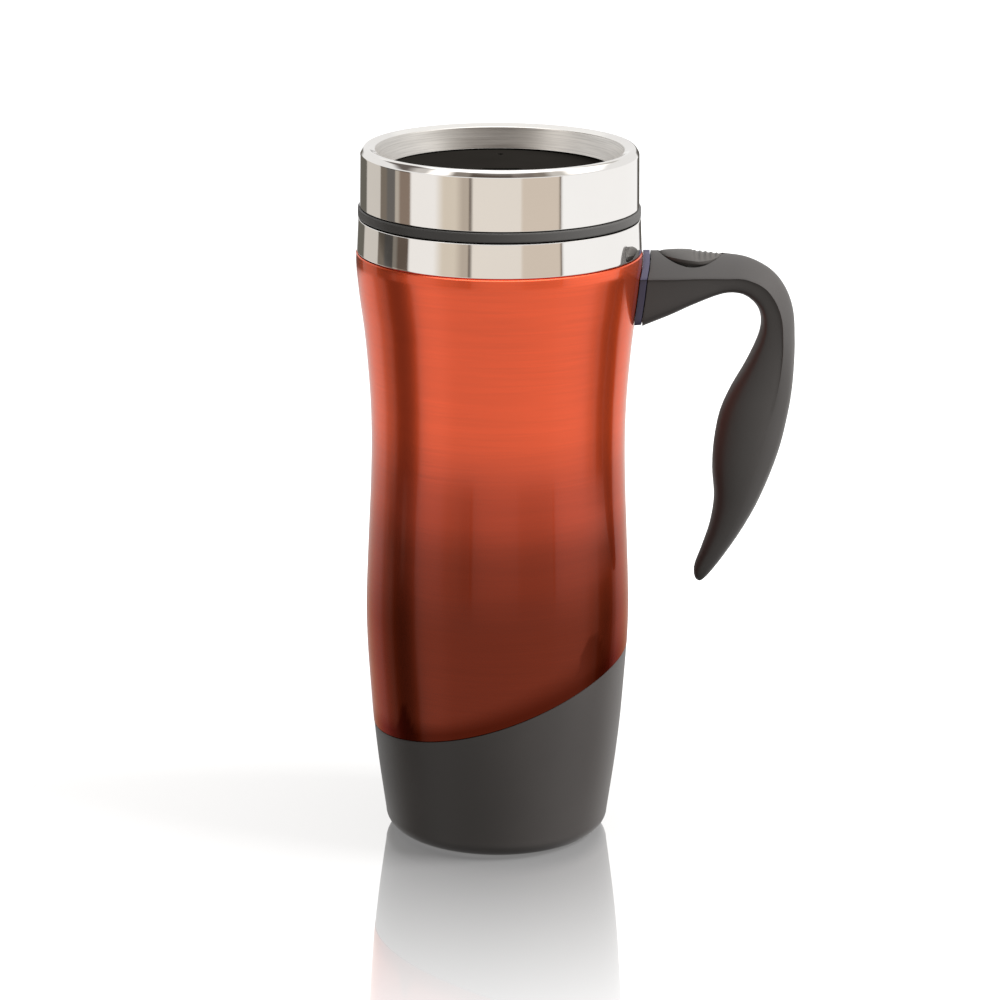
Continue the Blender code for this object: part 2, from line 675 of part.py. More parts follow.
def make_lid_body(parts, tools, material):
    groove = SEAL_INNER - GAP
    outline = [
        (0, LID_FLOOR),
        (LID_WALL_RADIUS, LID_FLOOR),
        (LID_WALL_RADIUS, FLANGE_TOP),
        (FLANGE_RADIUS, FLANGE_TOP),
        (FLANGE_RADIUS, FLANGE_BOTTOM),
        (PLUG_RADIUS, FLANGE_BOTTOM),
        (PLUG_RADIUS, SEAL_HIGH + GAP),
        (groove, SEAL_HIGH + GAP),
        (groove, SEAL_LOW - GAP),
        (PLUG_RADIUS, SEAL_LOW - GAP),
        (PLUG_RADIUS, PLUG_BOTTOM),
        (PLUG_BORE, PLUG_BOTTOM),
        (PLUG_BORE, LID_UNDERSIDE),
        (0, LID_UNDERSIDE),
    ]
    lid = turned("lid_body", outline, parts, material)
    below, above = LID_UNDERSIDE - 1 * MM, LID_FLOOR + 1 * MM
    half = SLIDER_HALF_WIDTH + GAP
    channel_back = SLIDER_BACK + SLIDER_TRAVEL + GAP
    channel = rounded_rectangle((-half, SLIDER_FRONT - GAP), (half, channel_back), 2.5 * MM)
    sip = padded_rectangle(SIP_CENTRE, SIP_HALF, 1.9 * MM)
    slot_low = (-STEM_HALF[0] - GAP, STEM_CENTRE - STEM_HALF[1] - GAP)
    slot_high = (STEM_HALF[0] + GAP, STEM_CENTRE + STEM_HALF[1] + SLIDER_TRAVEL + GAP)
    cut(
        lid,
        plate("slider_channel", channel, SLIDER_BOTTOM - GAP, above, tools),
        plate("sip_hole", sip, below, above, tools),
        plate("stem_slot", rounded_rectangle(slot_low, slot_high, 0.6 * MM, 2), below, above, tools),
        rod("vent_hole", (0, VENT_CENTRE, below), (0, VENT_CENTRE, above), VENT_RADIUS, tools),
    )


def make_lid_ring(parts, material):
    """Sheet steel that rises from the flange, rolls over the lip and dips to the lid's floor."""
    crest_radius, crest_height = RING_CREST
    mouth_radius, mouth_height = RING_MOUTH

    def lip(shrink):
        reach, rise = RING_SHOULDER_RADIUS - crest_radius - shrink / 2, crest_height - RING_SHOULDER - shrink
        start = (crest_radius - shrink / 2, RING_SHOULDER)
        roll = [(start[0] + reach * x, start[1] + rise * y) for x, y in arc((0, 0), 1, 0, 90, 4)]
        low = mouth_height - shrink
        mouth = (mouth_radius - RING_MOUTH_ROUND + shrink, low - RING_MOUTH_ROUND)
        return roll + [(mouth_radius, low), mouth]

    outside = [(RING_RADIUS, RING_BOTTOM)] + lip(0) + [(RING_THROAT, LID_FLOOR + GAP)]
    inside = [(RING_RADIUS - RING_WALL, RING_BOTTOM)] + lip(RING_WALL)
    inside += [(RING_THROAT + RING_WALL, LID_FLOOR + GAP)]
    smooth(turned("lid_ring", outside + inside[::-1], parts, material), 30)


def make_lid_seal(parts, material):
    """A silicone ring with a rounded outer face."""
    middle = (SEAL_LOW + SEAL_HIGH) / 2
    half = (SEAL_HIGH - SEAL_LOW) / 2
    bulge = [(SEAL_OUTER - half + half * math.cos(a), middle + half * math.sin(a)) for a in quarter_turns(4)]
    turned("lid_seal", bulge + [(SEAL_INNER, SEAL_LOW), (SEAL_INNER, SEAL_HIGH)], parts, material)


def quarter_turns(parts):
    """Angles from straight up to straight down."""
    return [math.pi / 2 - math.pi * i / parts for i in range(parts + 1)]


def make_slider(parts, tools, plastic, rubber, steel):
    half = SLIDER_HALF_WIDTH
    outline = rounded_rectangle((-half, SLIDER_FRONT), (half, SLIDER_BACK), 2.2 * MM)
    slider = plate("sip_slider", outline, SLIDER_BOTTOM, SLIDER_TOP, parts, plastic)
    gasket_top = SLIDER_BOTTOM + GASKET_THICK
    clip_top = LID_UNDERSIDE - GAP
    clip_bottom = clip_top - CLIP_THICK
    hole = [(0, STEM_CENTRE, clip_bottom - 1 * MM), (0, STEM_CENTRE, SLIDER_TOP - 1.2 * MM)]
    hole_radius = SLIDER_SCREW_SHANK + GAP
    grip = padded_rectangle(GRIP_CENTRE, GRIP_HALF, 1.5 * MM)
    stem_low = (-STEM_HALF[0], STEM_CENTRE - STEM_HALF[1], LID_UNDERSIDE)
    stem_high = (STEM_HALF[0], STEM_CENTRE + STEM_HALF[1], SLIDER_BOTTOM + 1 * MM)
    join(slider, plate("slider_grip", grip, SLIDER_TOP - 1 * MM, SLIDER_TOP + GRIP_RISE, tools))
    join(slider, block("slider_stem", stem_low, stem_high, tools))
    pocket = padded_rectangle(SIP_CENTRE, GASKET_HALF, 1.8 * MM, GAP)
    cut(slider, plate("gasket_pocket", pocket, SLIDER_BOTTOM - 1 * MM, gasket_top + GAP, tools))
    cut(slider, rod("slider_screw_hole", *hole, hole_radius, tools))

    gasket = padded_rectangle(SIP_CENTRE, GASKET_HALF, 1.5 * MM)
    plate("slider_gasket", gasket, SLIDER_BOTTOM, gasket_top, parts, rubber)

    washer = padded_rectangle(STEM_CENTRE, CLIP_HALF, 1 * MM)
    clip = plate("slider_clip", washer, clip_bottom, clip_top, parts, plastic)
    cut(clip, rod("clip_hole", *hole, hole_radius, tools))

    head_top = clip_bottom - GAP
    head_radius, head_thick = SLIDER_SCREW_HEAD
    tip = SLIDER_TOP - 1.5 * MM
    screw = [(0, tip), (SLIDER_SCREW_SHANK, tip - 0.3 * MM), (SLIDER_SCREW_SHANK, head_top)]
    screw += [(head_radius, head_top), (head_radius, head_top - head_thick), (0, head_top - head_thick)]
    made = turned("slider_screw", screw, parts, steel, FINE_STEPS)
    made.location.y = STEM_CENTRE


def padded_rectangle(centre, half, corner, margin=0):
    """Outline of a rounded rectangle across the lid's centre line, widened by a margin."""
    width, length = half[0] + margin, half[1] + margin
    return rounded_rectangle((-width, centre - length), (width, centre + length), corner)


# ---------------------------------------------------------------- the whole mug


def main():
    clear_scene()
    parts = new_collection("travel_mug")
    tools = new_collection("cutters")

    polished = finish("polished_steel", (0.86, 0.84, 0.80), 0.08, 1.0)
    brushed = finish("brushed_steel", (0.62, 0.60, 0.57), 0.30, 1.0)
    red = finish("red_shell", (0.62, 0.07, 0.03), 0.20, 0.6)
    soft_black = finish("soft_touch_black", (0.045, 0.042, 0.040), 0.55)
    gloss_black = finish("lid_black", (0.018, 0.016, 0.015), 0.30)
    bracket_black = finish("bracket_black", (0.012, 0.012, 0.022), 0.35)
    rubber = finish("clear_rubber", (0.55, 0.55, 0.53), 0.50)
    pad_rubber = finish("pad_rubber", (0.02, 0.02, 0.02), 0.80)
    foam = finish("foam", (0.85, 0.80, 0.62), 0.90)

    make_foot_pad(parts, pad_rubber)
    make_base_boot(parts, soft_black)
    make_outer_shell(parts, tools, red)
    make_steel_sleeve(parts, tools, brushed)
    make_foam(parts, foam)
    make_inner_liner(parts, brushed)
    make_rings(parts, polished, rubber)

    make_handle(parts, tools, soft_black)
    make_handle_bracket(parts, tools, bracket_black)
    make_bracket_screws(parts, tools, brushed)
    make_thumb_button(parts, tools, soft_black)
    pivot_rod("button_pin", PIN_HALF_LENGTH, PIN_RADIUS, parts, brushed)
    make_button_spring(parts, brushed)

    make_lid_body(parts, tools, gloss_black)
    make_lid_ring(parts, polished)
    make_lid_seal(parts, rubber)
    make_slider(parts, tools, gloss_black, rubber, brushed)


main()
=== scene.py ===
import math

import bmesh
import bpy
from mathutils import Matrix, Vector


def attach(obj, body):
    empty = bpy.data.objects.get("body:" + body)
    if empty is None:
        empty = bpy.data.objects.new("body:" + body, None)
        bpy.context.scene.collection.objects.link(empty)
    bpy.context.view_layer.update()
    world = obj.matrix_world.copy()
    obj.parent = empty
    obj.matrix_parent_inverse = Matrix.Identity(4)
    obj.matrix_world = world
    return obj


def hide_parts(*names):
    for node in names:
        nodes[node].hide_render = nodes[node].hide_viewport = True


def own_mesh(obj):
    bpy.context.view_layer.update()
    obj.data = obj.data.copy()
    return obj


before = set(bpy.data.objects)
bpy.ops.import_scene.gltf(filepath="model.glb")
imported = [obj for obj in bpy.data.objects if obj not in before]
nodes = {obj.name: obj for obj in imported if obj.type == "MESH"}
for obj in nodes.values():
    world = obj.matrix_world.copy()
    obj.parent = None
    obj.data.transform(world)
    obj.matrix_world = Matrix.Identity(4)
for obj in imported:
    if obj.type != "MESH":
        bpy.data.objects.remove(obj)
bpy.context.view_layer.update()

mm = 0.001


# small tools

def calm():  # object mode, nothing selected
    if bpy.context.mode != "OBJECT":
        bpy.ops.object.mode_set(mode="OBJECT")
    bpy.ops.object.select_all(action="DESELECT")


def pickOnly(piece):
    calm()
    piece.select_set(True)
    bpy.context.view_layer.objects.active = piece


def blendValue(a, b, c, d, t):  # smooth curve through b and c, with a and d as the neighbours
    return 0.5 * (2 * b + (c - a) * t + (2 * a - 5 * b + 4 * c - d) * t**2 + (3 * b - a - 3 * c + d) * t**3)


def smoothRows(rows, parts):  # rows of numbers, with more rows blended in between
    last = len(rows) - 1
    made = []
    for i in range(last):
        four = (rows[max(i - 1, 0)], rows[i], rows[i + 1], rows[min(i + 2, last)])
        made += [tuple(blendValue(*column, step / parts) for column in zip(*four)) for step in range(parts)]
    return made + [tuple(rows[last])]


def softCorners(corners, closed=False, parts=6, hold=0.25):
    # (radius, height, fillet) corners to a line with round corners; a point just past each keeps flats flat
    line = []
    count = len(corners)
    for i, (r, z, fillet) in enumerate(corners):
        here = Vector((r, z))
        before = Vector(corners[i - 1][:2]) - here
        after = Vector(corners[(i + 1) % count][:2]) - here
        atEnd = not closed and i in (0, count - 1)
        if not fillet or atEnd:
            line.append((r, z))
            continue
        half = before.angle(after) / 2
        reach = min(fillet / math.tan(half), before.length * 0.49, after.length * 0.49)
        start, end = here + before.normalized() * reach, here + after.normalized() * reach
        if reach + hold < before.length * 0.49:
            line.append(tuple(start + before.normalized() * hold))
        for step in range(parts + 1):
            t = step / parts
            line.append(tuple(start * (1 - t) ** 2 + here * 2 * t * (1 - t) + end * t * t))
        if reach + hold < after.length * 0.49:
            line.append(tuple(end + after.normalized() * hold))
    return line + line[:1] if closed else line


def spinLine(line, steps=192):
    # a chain of points drawn by extruding one point, spun a full turn round the mug's axis
    calm()
    bpy.ops.mesh.primitive_plane_add(size=mm)
    bpy.ops.object.mode_set(mode="EDIT")
    bpy.ops.mesh.select_mode(type="VERT")
    bpy.ops.mesh.merge(type="CENTER")
    bpy.ops.transform.translate(value=(line[0][0] * mm, 0, line[0][1] * mm))
    for (r1, z1), (r2, z2) in zip(line, line[1:]):
        step = ((r2 - r1) * mm, 0, (z2 - z1) * mm)
        bpy.ops.mesh.extrude_vertices_move(TRANSFORM_OT_translate={"value": step})
    bpy.ops.mesh.select_all(action="SELECT")
    bpy.ops.mesh.spin(steps=steps, angle=2 * math.pi, center=(0, 0, 0), axis=(0, 0, 1))
    bpy.ops.mesh.select_all(action="SELECT")
    bpy.ops.mesh.remove_doubles(threshold=0.002 * mm)
    bpy.ops.mesh.normals_make_consistent(inside=False)
    bpy.ops.object.mode_set(mode="OBJECT")
    return bpy.context.active_object


def loftRings(name, rings):  # skin over rings of points, closed at both ends
    calm()
    bpy.ops.mesh.primitive_plane_add(size=mm)
    piece = bpy.context.active_object
    bpy.ops.object.mode_set(mode="EDIT")
    bpy.ops.mesh.select_mode(type="VERT")
    bpy.ops.mesh.delete(type="VERT")
    shape = bmesh.from_edit_mesh(piece.data)
    rows = [[shape.verts.new(point) for point in ring] for ring in rings]
    for row, following in zip(rows, rows[1:]):
        for i, here in enumerate(row):
            shape.faces.new((row[i - 1], here, following[i], following[i - 1]))
    shape.faces.new(rows[0])
    shape.faces.new(rows[-1])
    bmesh.update_edit_mesh(piece.data)
    bpy.ops.mesh.select_all(action="SELECT")
    bpy.ops.mesh.normals_make_consistent(inside=False)
    bpy.ops.object.mode_set(mode="OBJECT")
    piece.name = name
    return piece


def pickEdges(piece, test):
    bpy.ops.mesh.select_mode(type="EDGE")
    bpy.ops.mesh.select_all(action="DESELECT")
    shape = bmesh.from_edit_mesh(piece.data)
    for edge in shape.edges:
        edge.select_set(test(edge))
    bmesh.update_edit_mesh(piece.data)


def roundedBlock(low, high, corner, edge, topOnly=False):
    # a cube with its upright edges rounded by corner, then its rims by edge (all in millimetres)
    calm()
    size = [(b - a) * mm for a, b in zip(low, high)]
    place = [(a + b) / 2 * mm for a, b in zip(low, high)]
    bpy.ops.mesh.primitive_cube_add(size=1, location=place, scale=size)
    bpy.ops.object.transform_apply(location=True, rotation=True, scale=True)
    piece = bpy.context.active_object
    bpy.ops.object.mode_set(mode="EDIT")
    pickEdges(piece, lambda e: abs(e.verts[0].co.z - e.verts[1].co.z) > 0.1 * mm)
    bpy.ops.mesh.bevel(offset=corner * mm, segments=8, affect="EDGES")
    if edge:
        bottom, top = low[2] * mm, high[2] * mm

        def onRim(e):
            heights = [v.co.z for v in e.verts]
            flat = abs(heights[0] - heights[1]) < 0.001 * mm
            atTop = abs(heights[0] - top) < 0.01 * mm
            atBottom = not topOnly and abs(heights[0] - bottom) < 0.01 * mm
            return flat and (atTop or atBottom)

        pickEdges(piece, onRim)
        bpy.ops.mesh.bevel(offset=edge * mm, segments=4, affect="EDGES")
    bpy.ops.object.mode_set(mode="OBJECT")
    return piece


def boolean(piece, tool, operation):
    pickOnly(piece)
    step = piece.modifiers.new("with_tool", "BOOLEAN")
    step.operation = operation
    step.object = tool
    step.solver = "EXACT"
    bpy.ops.object.modifier_apply(modifier=step.name)
    pickOnly(tool)
    bpy.ops.object.delete()


def cutAway(piece, *tools):
    for tool in tools:
        boolean(piece, tool, "DIFFERENCE")


def rod(place, radius, length, vertices=32, sideways=False):  # a round cutter, upright or along Y
    calm()
    bpy.ops.mesh.primitive_cylinder_add(
        vertices=vertices, radius=radius * mm, depth=length * mm, location=[c * mm for c in place],
        rotation=(math.pi / 2 if sideways else 0, 0, 0),
    )
    bpy.ops.object.transform_apply(location=True, rotation=True, scale=True)
    return bpy.context.active_object


def softenEdges(piece, width, angle=40):
    pickOnly(piece)
    step = piece.modifiers.new("soften", "BEVEL")
    step.width = width * mm
    step.segments = 3
    step.limit_method = "ANGLE"
    step.angle_limit = math.radians(angle)
    step.use_clamp_overlap = True
    bpy.ops.object.modifier_apply(modifier=step.name)


def keepPiece(piece, name, finish, body, slotName, *replaced, angle=35):
    pickOnly(piece)
    piece.name = name
    piece.data.name = name
    piece.data.materials.clear()
    piece.data.materials.append(finish)
    bpy.ops.object.shade_smooth_by_angle(angle=math.radians(angle))
    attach(piece, body)
    if replaced:
        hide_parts(*replaced)
    print("made", name, len(piece.data.polygons), "faces")


# finishes

def newFinish(name, **sockets):  # a Principled finish, and its tree and shader
    made = bpy.data.materials.new(name)
    made.use_nodes = True
    tree = made.node_tree
    shader = tree.nodes["Principled BSDF"]
    for socket, value in sockets.items():
        shader.inputs[socket.replace("_", " ")].default_value = value
    return made, tree, shader


def addNode(tree, kind, links=None, **settings):
    # settings name a node's property, or, with in_ before a number, the value of that input
    made = tree.nodes.new(kind)
    for key, value in settings.items():
        if key.startswith("in_"):
            made.inputs[int(key[3:])].default_value = value
        else:
            setattr(made, key, value)
    for place, socket in (links or {}).items():
        tree.links.new(socket, made.inputs[place])
    return made


def objectPlace(tree):
    return addNode(tree, "ShaderNodeTexCoord").outputs["Object"]


def roundPlace(tree, around, along):
    # (angle, radius, height) of a point round the mug's axis, each stretched, for grain that runs round it
    split = addNode(tree, "ShaderNodeSeparateXYZ", {0: objectPlace(tree)})
    x, y, z = split.outputs
    angle = addNode(tree, "ShaderNodeMath", {0: y, 1: x}, operation="ARCTAN2")
    square = addNode(tree, "ShaderNodeMath", {0: y, 1: y}, operation="MULTIPLY")
    total = addNode(tree, "ShaderNodeMath", {0: x, 1: x, 2: square.outputs[0]}, operation="MULTIPLY_ADD")
    radius = addNode(tree, "ShaderNodeMath", {0: total.outputs[0]}, operation="SQRT")
    turn = addNode(tree, "ShaderNodeMath", {0: angle.outputs[0]}, operation="MULTIPLY", in_1=around)
    out = addNode(tree, "ShaderNodeMath", {0: radius.outputs[0]}, operation="MULTIPLY", in_1=along)
    up = addNode(tree, "ShaderNodeMath", {0: z}, operation="MULTIPLY", in_1=along)
    joined = addNode(tree, "ShaderNodeCombineXYZ", {0: turn.outputs[0], 1: out.outputs[0], 2: up.outputs[0]})
    return joined.outputs[0]


def noise(tree, place, scale, detail=3.0, rough=0.5):
    made = addNode(tree, "ShaderNodeTexNoise", {"Vector": place})
    plainValue(made, Scale=scale, Detail=detail, Roughness=rough)
    return made.outputs["Fac"]


def spread(tree, value, low, high, fromLow=0.0, fromHigh=1.0, soft=False):
    made = addNode(tree, "ShaderNodeMapRange", {0: value}, in_1=fromLow, in_2=fromHigh, in_3=low, in_4=high)
    made.interpolation_type = "SMOOTHSTEP" if soft else "LINEAR"
    return made.outputs[0]


def colourRamp(tree, value, stops, interpolation="LINEAR"):
    made = addNode(tree, "ShaderNodeValToRGB", {0: value})
    ramp = made.color_ramp
    ramp.interpolation = interpolation
    while len(ramp.elements) < len(stops):
        ramp.elements.new(1.0)
    for element, (place, colour) in zip(ramp.elements, stops):
        element.position = place
        element.color = (*colour, 1.0)
    return made.outputs["Color"]


def mixColour(tree, share, first, second):
    made = addNode(tree, "ShaderNodeMix", data_type="RGBA", blend_type="MIX", clamp_factor=True)
    for socket, value in ((made.inputs[0], share), (made.inputs[6], first), (made.inputs[7], second)):
        if isinstance(value, bpy.types.NodeSocket):
            tree.links.new(value, socket)
        elif isinstance(value, tuple):
            socket.default_value = (*value, 1.0)
        else:
            socket.default_value = value
    return made.outputs[2]


def plainValue(made, **sockets):  # values for a node's own sockets, one grey for a colour
    for name, value in sockets.items():
        colour = name == "Color"
        made.inputs[name].default_value = (value, value, value, 1.0) if colour else value
    return made


def bumpOn(tree, shader, height, strength, distance):
    made = addNode(tree, "ShaderNodeBump", {"Height": height})
    plainValue(made, Strength=strength, Distance=distance * mm)
    tree.links.new(made.outputs[0], shader.inputs["Normal"])


def turnedGrain(tree, shader):  # the brushing runs round the mug's axis
    tangent = addNode(tree, "ShaderNodeTangent", direction_type="RADIAL", axis="Z")
    tree.links.new(tangent.outputs[0], shader.inputs["Tangent"])


def polishedSteel():
    made, tree, shader = newFinish("polishedSteel", Metallic=1.0)
    place = objectPlace(tree)
    cloud = noise(tree, place, 55.0, 2.0)
    tint = mixColour(tree, cloud, (0.93, 0.915, 0.895), (0.90, 0.885, 0.865))
    tree.links.new(tint, shader.inputs["Base Color"])
    smear = noise(tree, place, 160.0, 4.0, 0.6)
    tree.links.new(spread(tree, smear, 0.03, 0.075, 0.3, 0.75), shader.inputs["Roughness"])
    bumpOn(tree, shader, noise(tree, place, 38.0, 1.0), 0.06, 0.25)
    return made


def brushedSteel(name, colour, roughness, depth):
    made, tree, shader = newFinish(name, Metallic=1.0, Anisotropic=0.7)
    turnedGrain(tree, shader)
    grain = noise(tree, roundPlace(tree, 2.2, 3200.0), 1.0, 4.0, 0.65)
    band = noise(tree, roundPlace(tree, 0.8, 420.0), 1.0, 2.0)
    darker = tuple(c * 0.72 for c in colour)
    tint = mixColour(tree, spread(tree, grain, 0.0, 1.0, 0.3, 0.7), darker, colour)
    tree.links.new(tint, shader.inputs["Base Color"])
    uneven = spread(tree, band, roughness * 0.8, roughness * 1.25, 0.3, 0.7)
    tree.links.new(uneven, shader.inputs["Roughness"])
    bumpOn(tree, shader, grain, 0.25, depth)
    return made


def softTouch(name, colour, shine=0.4):
    # rubbery paint over moulded plastic: a fine dry grain, slightly uneven, lighter at a glancing angle
    made, tree, shader = newFinish(name, Specular_IOR_Level=shine, Sheen_Weight=0.08, Sheen_Roughness=0.4)
    place = objectPlace(tree)
    cloud = noise(tree, place, 42.0, 3.0)
    worn = tuple(c * 1.16 for c in colour)
    tint = mixColour(tree, spread(tree, cloud, 0.0, 1.0, 0.35, 0.7), colour, worn)
    tree.links.new(tint, shader.inputs["Base Color"])
    grain = noise(tree, place, 5200.0, 2.0, 0.6)
    tree.links.new(spread(tree, cloud, 0.44, 0.52, 0.3, 0.7), shader.inputs["Roughness"])
    bumpOn(tree, shader, grain, 0.22, 0.02)
    return made


def mouldedPlastic(name, colour, roughness, grainSize=2600.0, depth=0.012, shine=0.5):
    made, tree, shader = newFinish(name, Specular_IOR_Level=shine)
    place = objectPlace(tree)
    cloud = noise(tree, place, 70.0, 2.0)
    lighter = tuple(c * 1.2 + 0.001 for c in colour)
    tree.links.new(mixColour(tree, cloud, colour, lighter), shader.inputs["Base Color"])
    uneven = spread(tree, cloud, roughness * 0.85, roughness * 1.2, 0.3, 0.7)
    tree.links.new(uneven, shader.inputs["Roughness"])
    bumpOn(tree, shader, noise(tree, place, grainSize, 2.0), 0.2, depth)
    return made


def siliconeRubber(name, colour, roughness):
    made, tree, shader = newFinish(name, Subsurface_Weight=0.15, Subsurface_Scale=0.6 * mm)
    place = objectPlace(tree)
    dust = noise(tree, place, 900.0, 3.0)
    paler = tuple(min(c * 1.12, 1.0) for c in colour)
    tree.links.new(mixColour(tree, dust, colour, paler), shader.inputs["Base Color"])
    tree.links.new(spread(tree, dust, roughness * 0.9, roughness * 1.1), shader.inputs["Roughness"])
    bumpOn(tree, shader, dust, 0.15, 0.02)
    return made


def foamFinish():
    made, tree, shader = newFinish("insulationFoam")
    place = objectPlace(tree)
    cells = addNode(tree, "ShaderNodeTexVoronoi", {"Vector": place})
    cells.inputs["Scale"].default_value = 900.0
    wide = spread(tree, cells.outputs["Distance"], 0.0, 1.0, 0.0, 0.7)
    tree.links.new(mixColour(tree, wide, (0.86, 0.80, 0.60), (0.70, 0.62, 0.42)), shader.inputs["Base Color"])
    tree.links.new(spread(tree, wide, 0.85, 0.98), shader.inputs["Roughness"])
    bumpOn(tree, shader, wide, 0.6, 0.2)
    return made


# the red deepens towards the bottom: partly the shell's own deeper tint, partly painted shade
shellLook = {
    "bright": (0.900, 0.118, 0.040),  # down to about two thirds of the height
    "middle": (0.440, 0.058, 0.024),
    "deep": (0.185, 0.026, 0.010),  # the lower third
    "heights": (72.0, 92.0, 108.0, 134.0),  # millimetres where the colours change over
    "rampTop": 200.0,
    "between": (0.86, 1.12),  # how bright the two blends between the three colours are
    "paintedEdgeShade": (0.075, 0.007, 0.0012),  # colour of the painted shade above the boot's edge, and of the painted reflections in the lobes
    "edgeTint": (1.0, 0.46, 0.30),  # of the metal at a glancing angle
    "roughness": 0.20,
    "clearIor": 1.40,
    "clearAt": (70.0, 120.0, 0.26, 0.85),  # from height to height, how much of the clear layer there is
}


def redShell():
    # brushed red metal under a clear layer; an attribute, up to 1 above the boot's edge, carries painted
    # shade and painted reflections, which darken the colour and thin the clear layer there
    made, tree, shader = newFinish(
        "redShell", Metallic=0.92, Anisotropic=0.85, Coat_Weight=1.0, Coat_Roughness=0.025,
        Coat_IOR=shellLook["clearIor"], Specular_Tint=(*shellLook["edgeTint"], 1.0),
    )
    turnedGrain(tree, shader)
    height = addNode(tree, "ShaderNodeSeparateXYZ", {0: objectPlace(tree)}).outputs[2]
    share = spread(tree, height, 0.0, 1.0, 0.0, shellLook["rampTop"] * mm)
    places = [h / shellLook["rampTop"] for h in shellLook["heights"]]
    deep, middle = shellLook["deep"], shellLook["middle"]
    dimmer, brighter = shellLook["between"]
    low = tuple(0.5 * (p + q) * dimmer for p, q in zip(deep, middle))
    high = tuple(v * brighter for v in middle)
    # darker towards the bottom, partly tint and partly painted shade
    fade = colourRamp(tree, share, list(zip(places, (deep, low, high, shellLook["bright"]))), "EASE")
    grain = noise(tree, roundPlace(tree, 1.6, 2600.0), 1.0, 4.0, 0.6)
    wide = noise(tree, roundPlace(tree, 0.9, 260.0), 1.0, 3.0)
    grained = mixColour(tree, spread(tree, grain, 0.0, 0.07, 0.35, 0.65), fade, (0.0, 0.0, 0.0))
    banded = mixColour(tree, spread(tree, wide, 0.0, 0.04, 0.4, 0.7), grained, (0.0, 0.0, 0.0))
    # painted shade and painted reflections above the boot's edge: they darken the base colour and thin the
    # clear layer
    paintedShade = addNode(tree, "ShaderNodeAttribute", attribute_name="paintedShadeAboveBoot").outputs["Fac"]
    tree.links.new(mixColour(tree, paintedShade, banded, shellLook["paintedEdgeShade"]), shader.inputs["Base Color"])
    low, high, little, much = shellLook["clearAt"]
    clear = spread(tree, height, little, much, low * mm, high * mm)
    thinner = spread(tree, paintedShade, 1.0, 0.3)
    coatOverShade = addNode(tree, "ShaderNodeMath", {0: clear, 1: thinner}, operation="MULTIPLY")
    tree.links.new(coatOverShade.outputs[0], shader.inputs["Coat Weight"])
    rough = shellLook["roughness"]
    tree.links.new(spread(tree, grain, rough * 0.94, rough * 1.06, 0.3, 0.7), shader.inputs["Roughness"])
    bumpOn(tree, shader, grain, 0.03, 0.004)
    return made


finishes = {
    "polished": polishedSteel(),
    "ringInner": brushedSteel("brushedRing", (0.80, 0.775, 0.74), 0.30, 0.02),
    "liner": brushedSteel("brushedLiner", (0.74, 0.73, 0.71), 0.26, 0.015),
    "sleeve": brushedSteel("brushedSleeve", (0.70, 0.68, 0.66), 0.32, 0.02),
    "screw": brushedSteel("screwSteel", (0.66, 0.66, 0.66), 0.30, 0.01),
    "boot": softTouch("bootSoftTouch", (0.0230, 0.0205, 0.0195)),
    "handle": softTouch("handleSoftTouch", (0.0270, 0.0250, 0.0240)),
    "button": softTouch("buttonSoftTouch", (0.0340, 0.0315, 0.0295)),
    # the lid's black plastic, made near-black and without shine as painted shade for the recess inside the
    # ring
    "lid": mouldedPlastic("lidPlasticWithPaintedShade", (0.0075, 0.0067, 0.0058), 0.42, shine=0.0),
    "flange": mouldedPlastic("flangePlastic", (0.030, 0.029, 0.028), 0.45),
    "slider": mouldedPlastic("sliderPlastic", (0.0140, 0.0125, 0.0110), 0.34, shine=0.05),
    "strip": mouldedPlastic("stripPlastic", (0.020, 0.017, 0.038), 0.24),
    "pad": mouldedPlastic("padRubber", (0.020, 0.020, 0.020), 0.75, 1400.0, 0.05),
    "seal": siliconeRubber("sealSilicone", (0.62, 0.62, 0.60), 0.42),
    "foam": foamFinish(),
}
print("finishes made", len(finishes))


# the body's shape, which several pieces follow

body = {
    "outline": [  # (radius, height) down the outside, in millimetres
        (41.75, 178.0), (41.85, 174.0), (40.95, 165.0), (39.60, 155.0), (38.62, 145.0), (37.80, 133.0),
        (37.55, 121.0), (37.82, 108.0), (38.42, 94.0), (39.02, 80.0), (39.30, 69.0), (39.00, 58.0),
        (38.22, 46.0), (37.30, 34.0), (36.00, 22.0), (34.65, 12.0), (33.80, 6.0), (32.40, -4.0),
    ],
    "waveMean": 44.1,  # the boot's edge: mean height, swing towards the handle, and a second wave
    "waveSwing": 12.55,
    "waveSecond": 1.75,
    "turnSteps": 192,
}
fineOutline = smoothRows(body["outline"], 10)


def bodyRadius(z):
    for (r1, z1), (r2, z2) in zip(fineOutline, fineOutline[1:]):
        if z2 <= z <= z1:
            return r1 + (r2 - r1) * (z1 - z) / (z1 - z2)
    return fineOutline[0][0] if z > fineOutline[0][1] else fineOutline[-1][0]


def bodyLine(top, bottom, inset, parts):
    heights = [top + (bottom - top) * i / parts for i in range(parts + 1)]
    return [(bodyRadius(z) - inset, z) for z in heights]


def waveLift(angle):  # how far the boot's edge is above its mean height
    return body["waveSwing"] * math.cos(angle) + body["waveSecond"] * math.cos(2 * angle)


def followWave(piece, full, still):
    # heights move with the wave, all the way at one height and not at all at another
    for vertex in piece.data.vertices:
        x, y, z = (c / mm for c in vertex.co)
        radius = math.hypot(x, y)
        share = min(max((z - still) / (full - still), 0.0), 1.0)
        if share > 0 and radius > 1:
            lift = share * waveLift(math.atan2(y, x))
            wider = 1 + (bodyRadius(z + lift) - bodyRadius(z)) / radius
            vertex.co = Vector((x * wider, y * wider, z + lift)) * mm


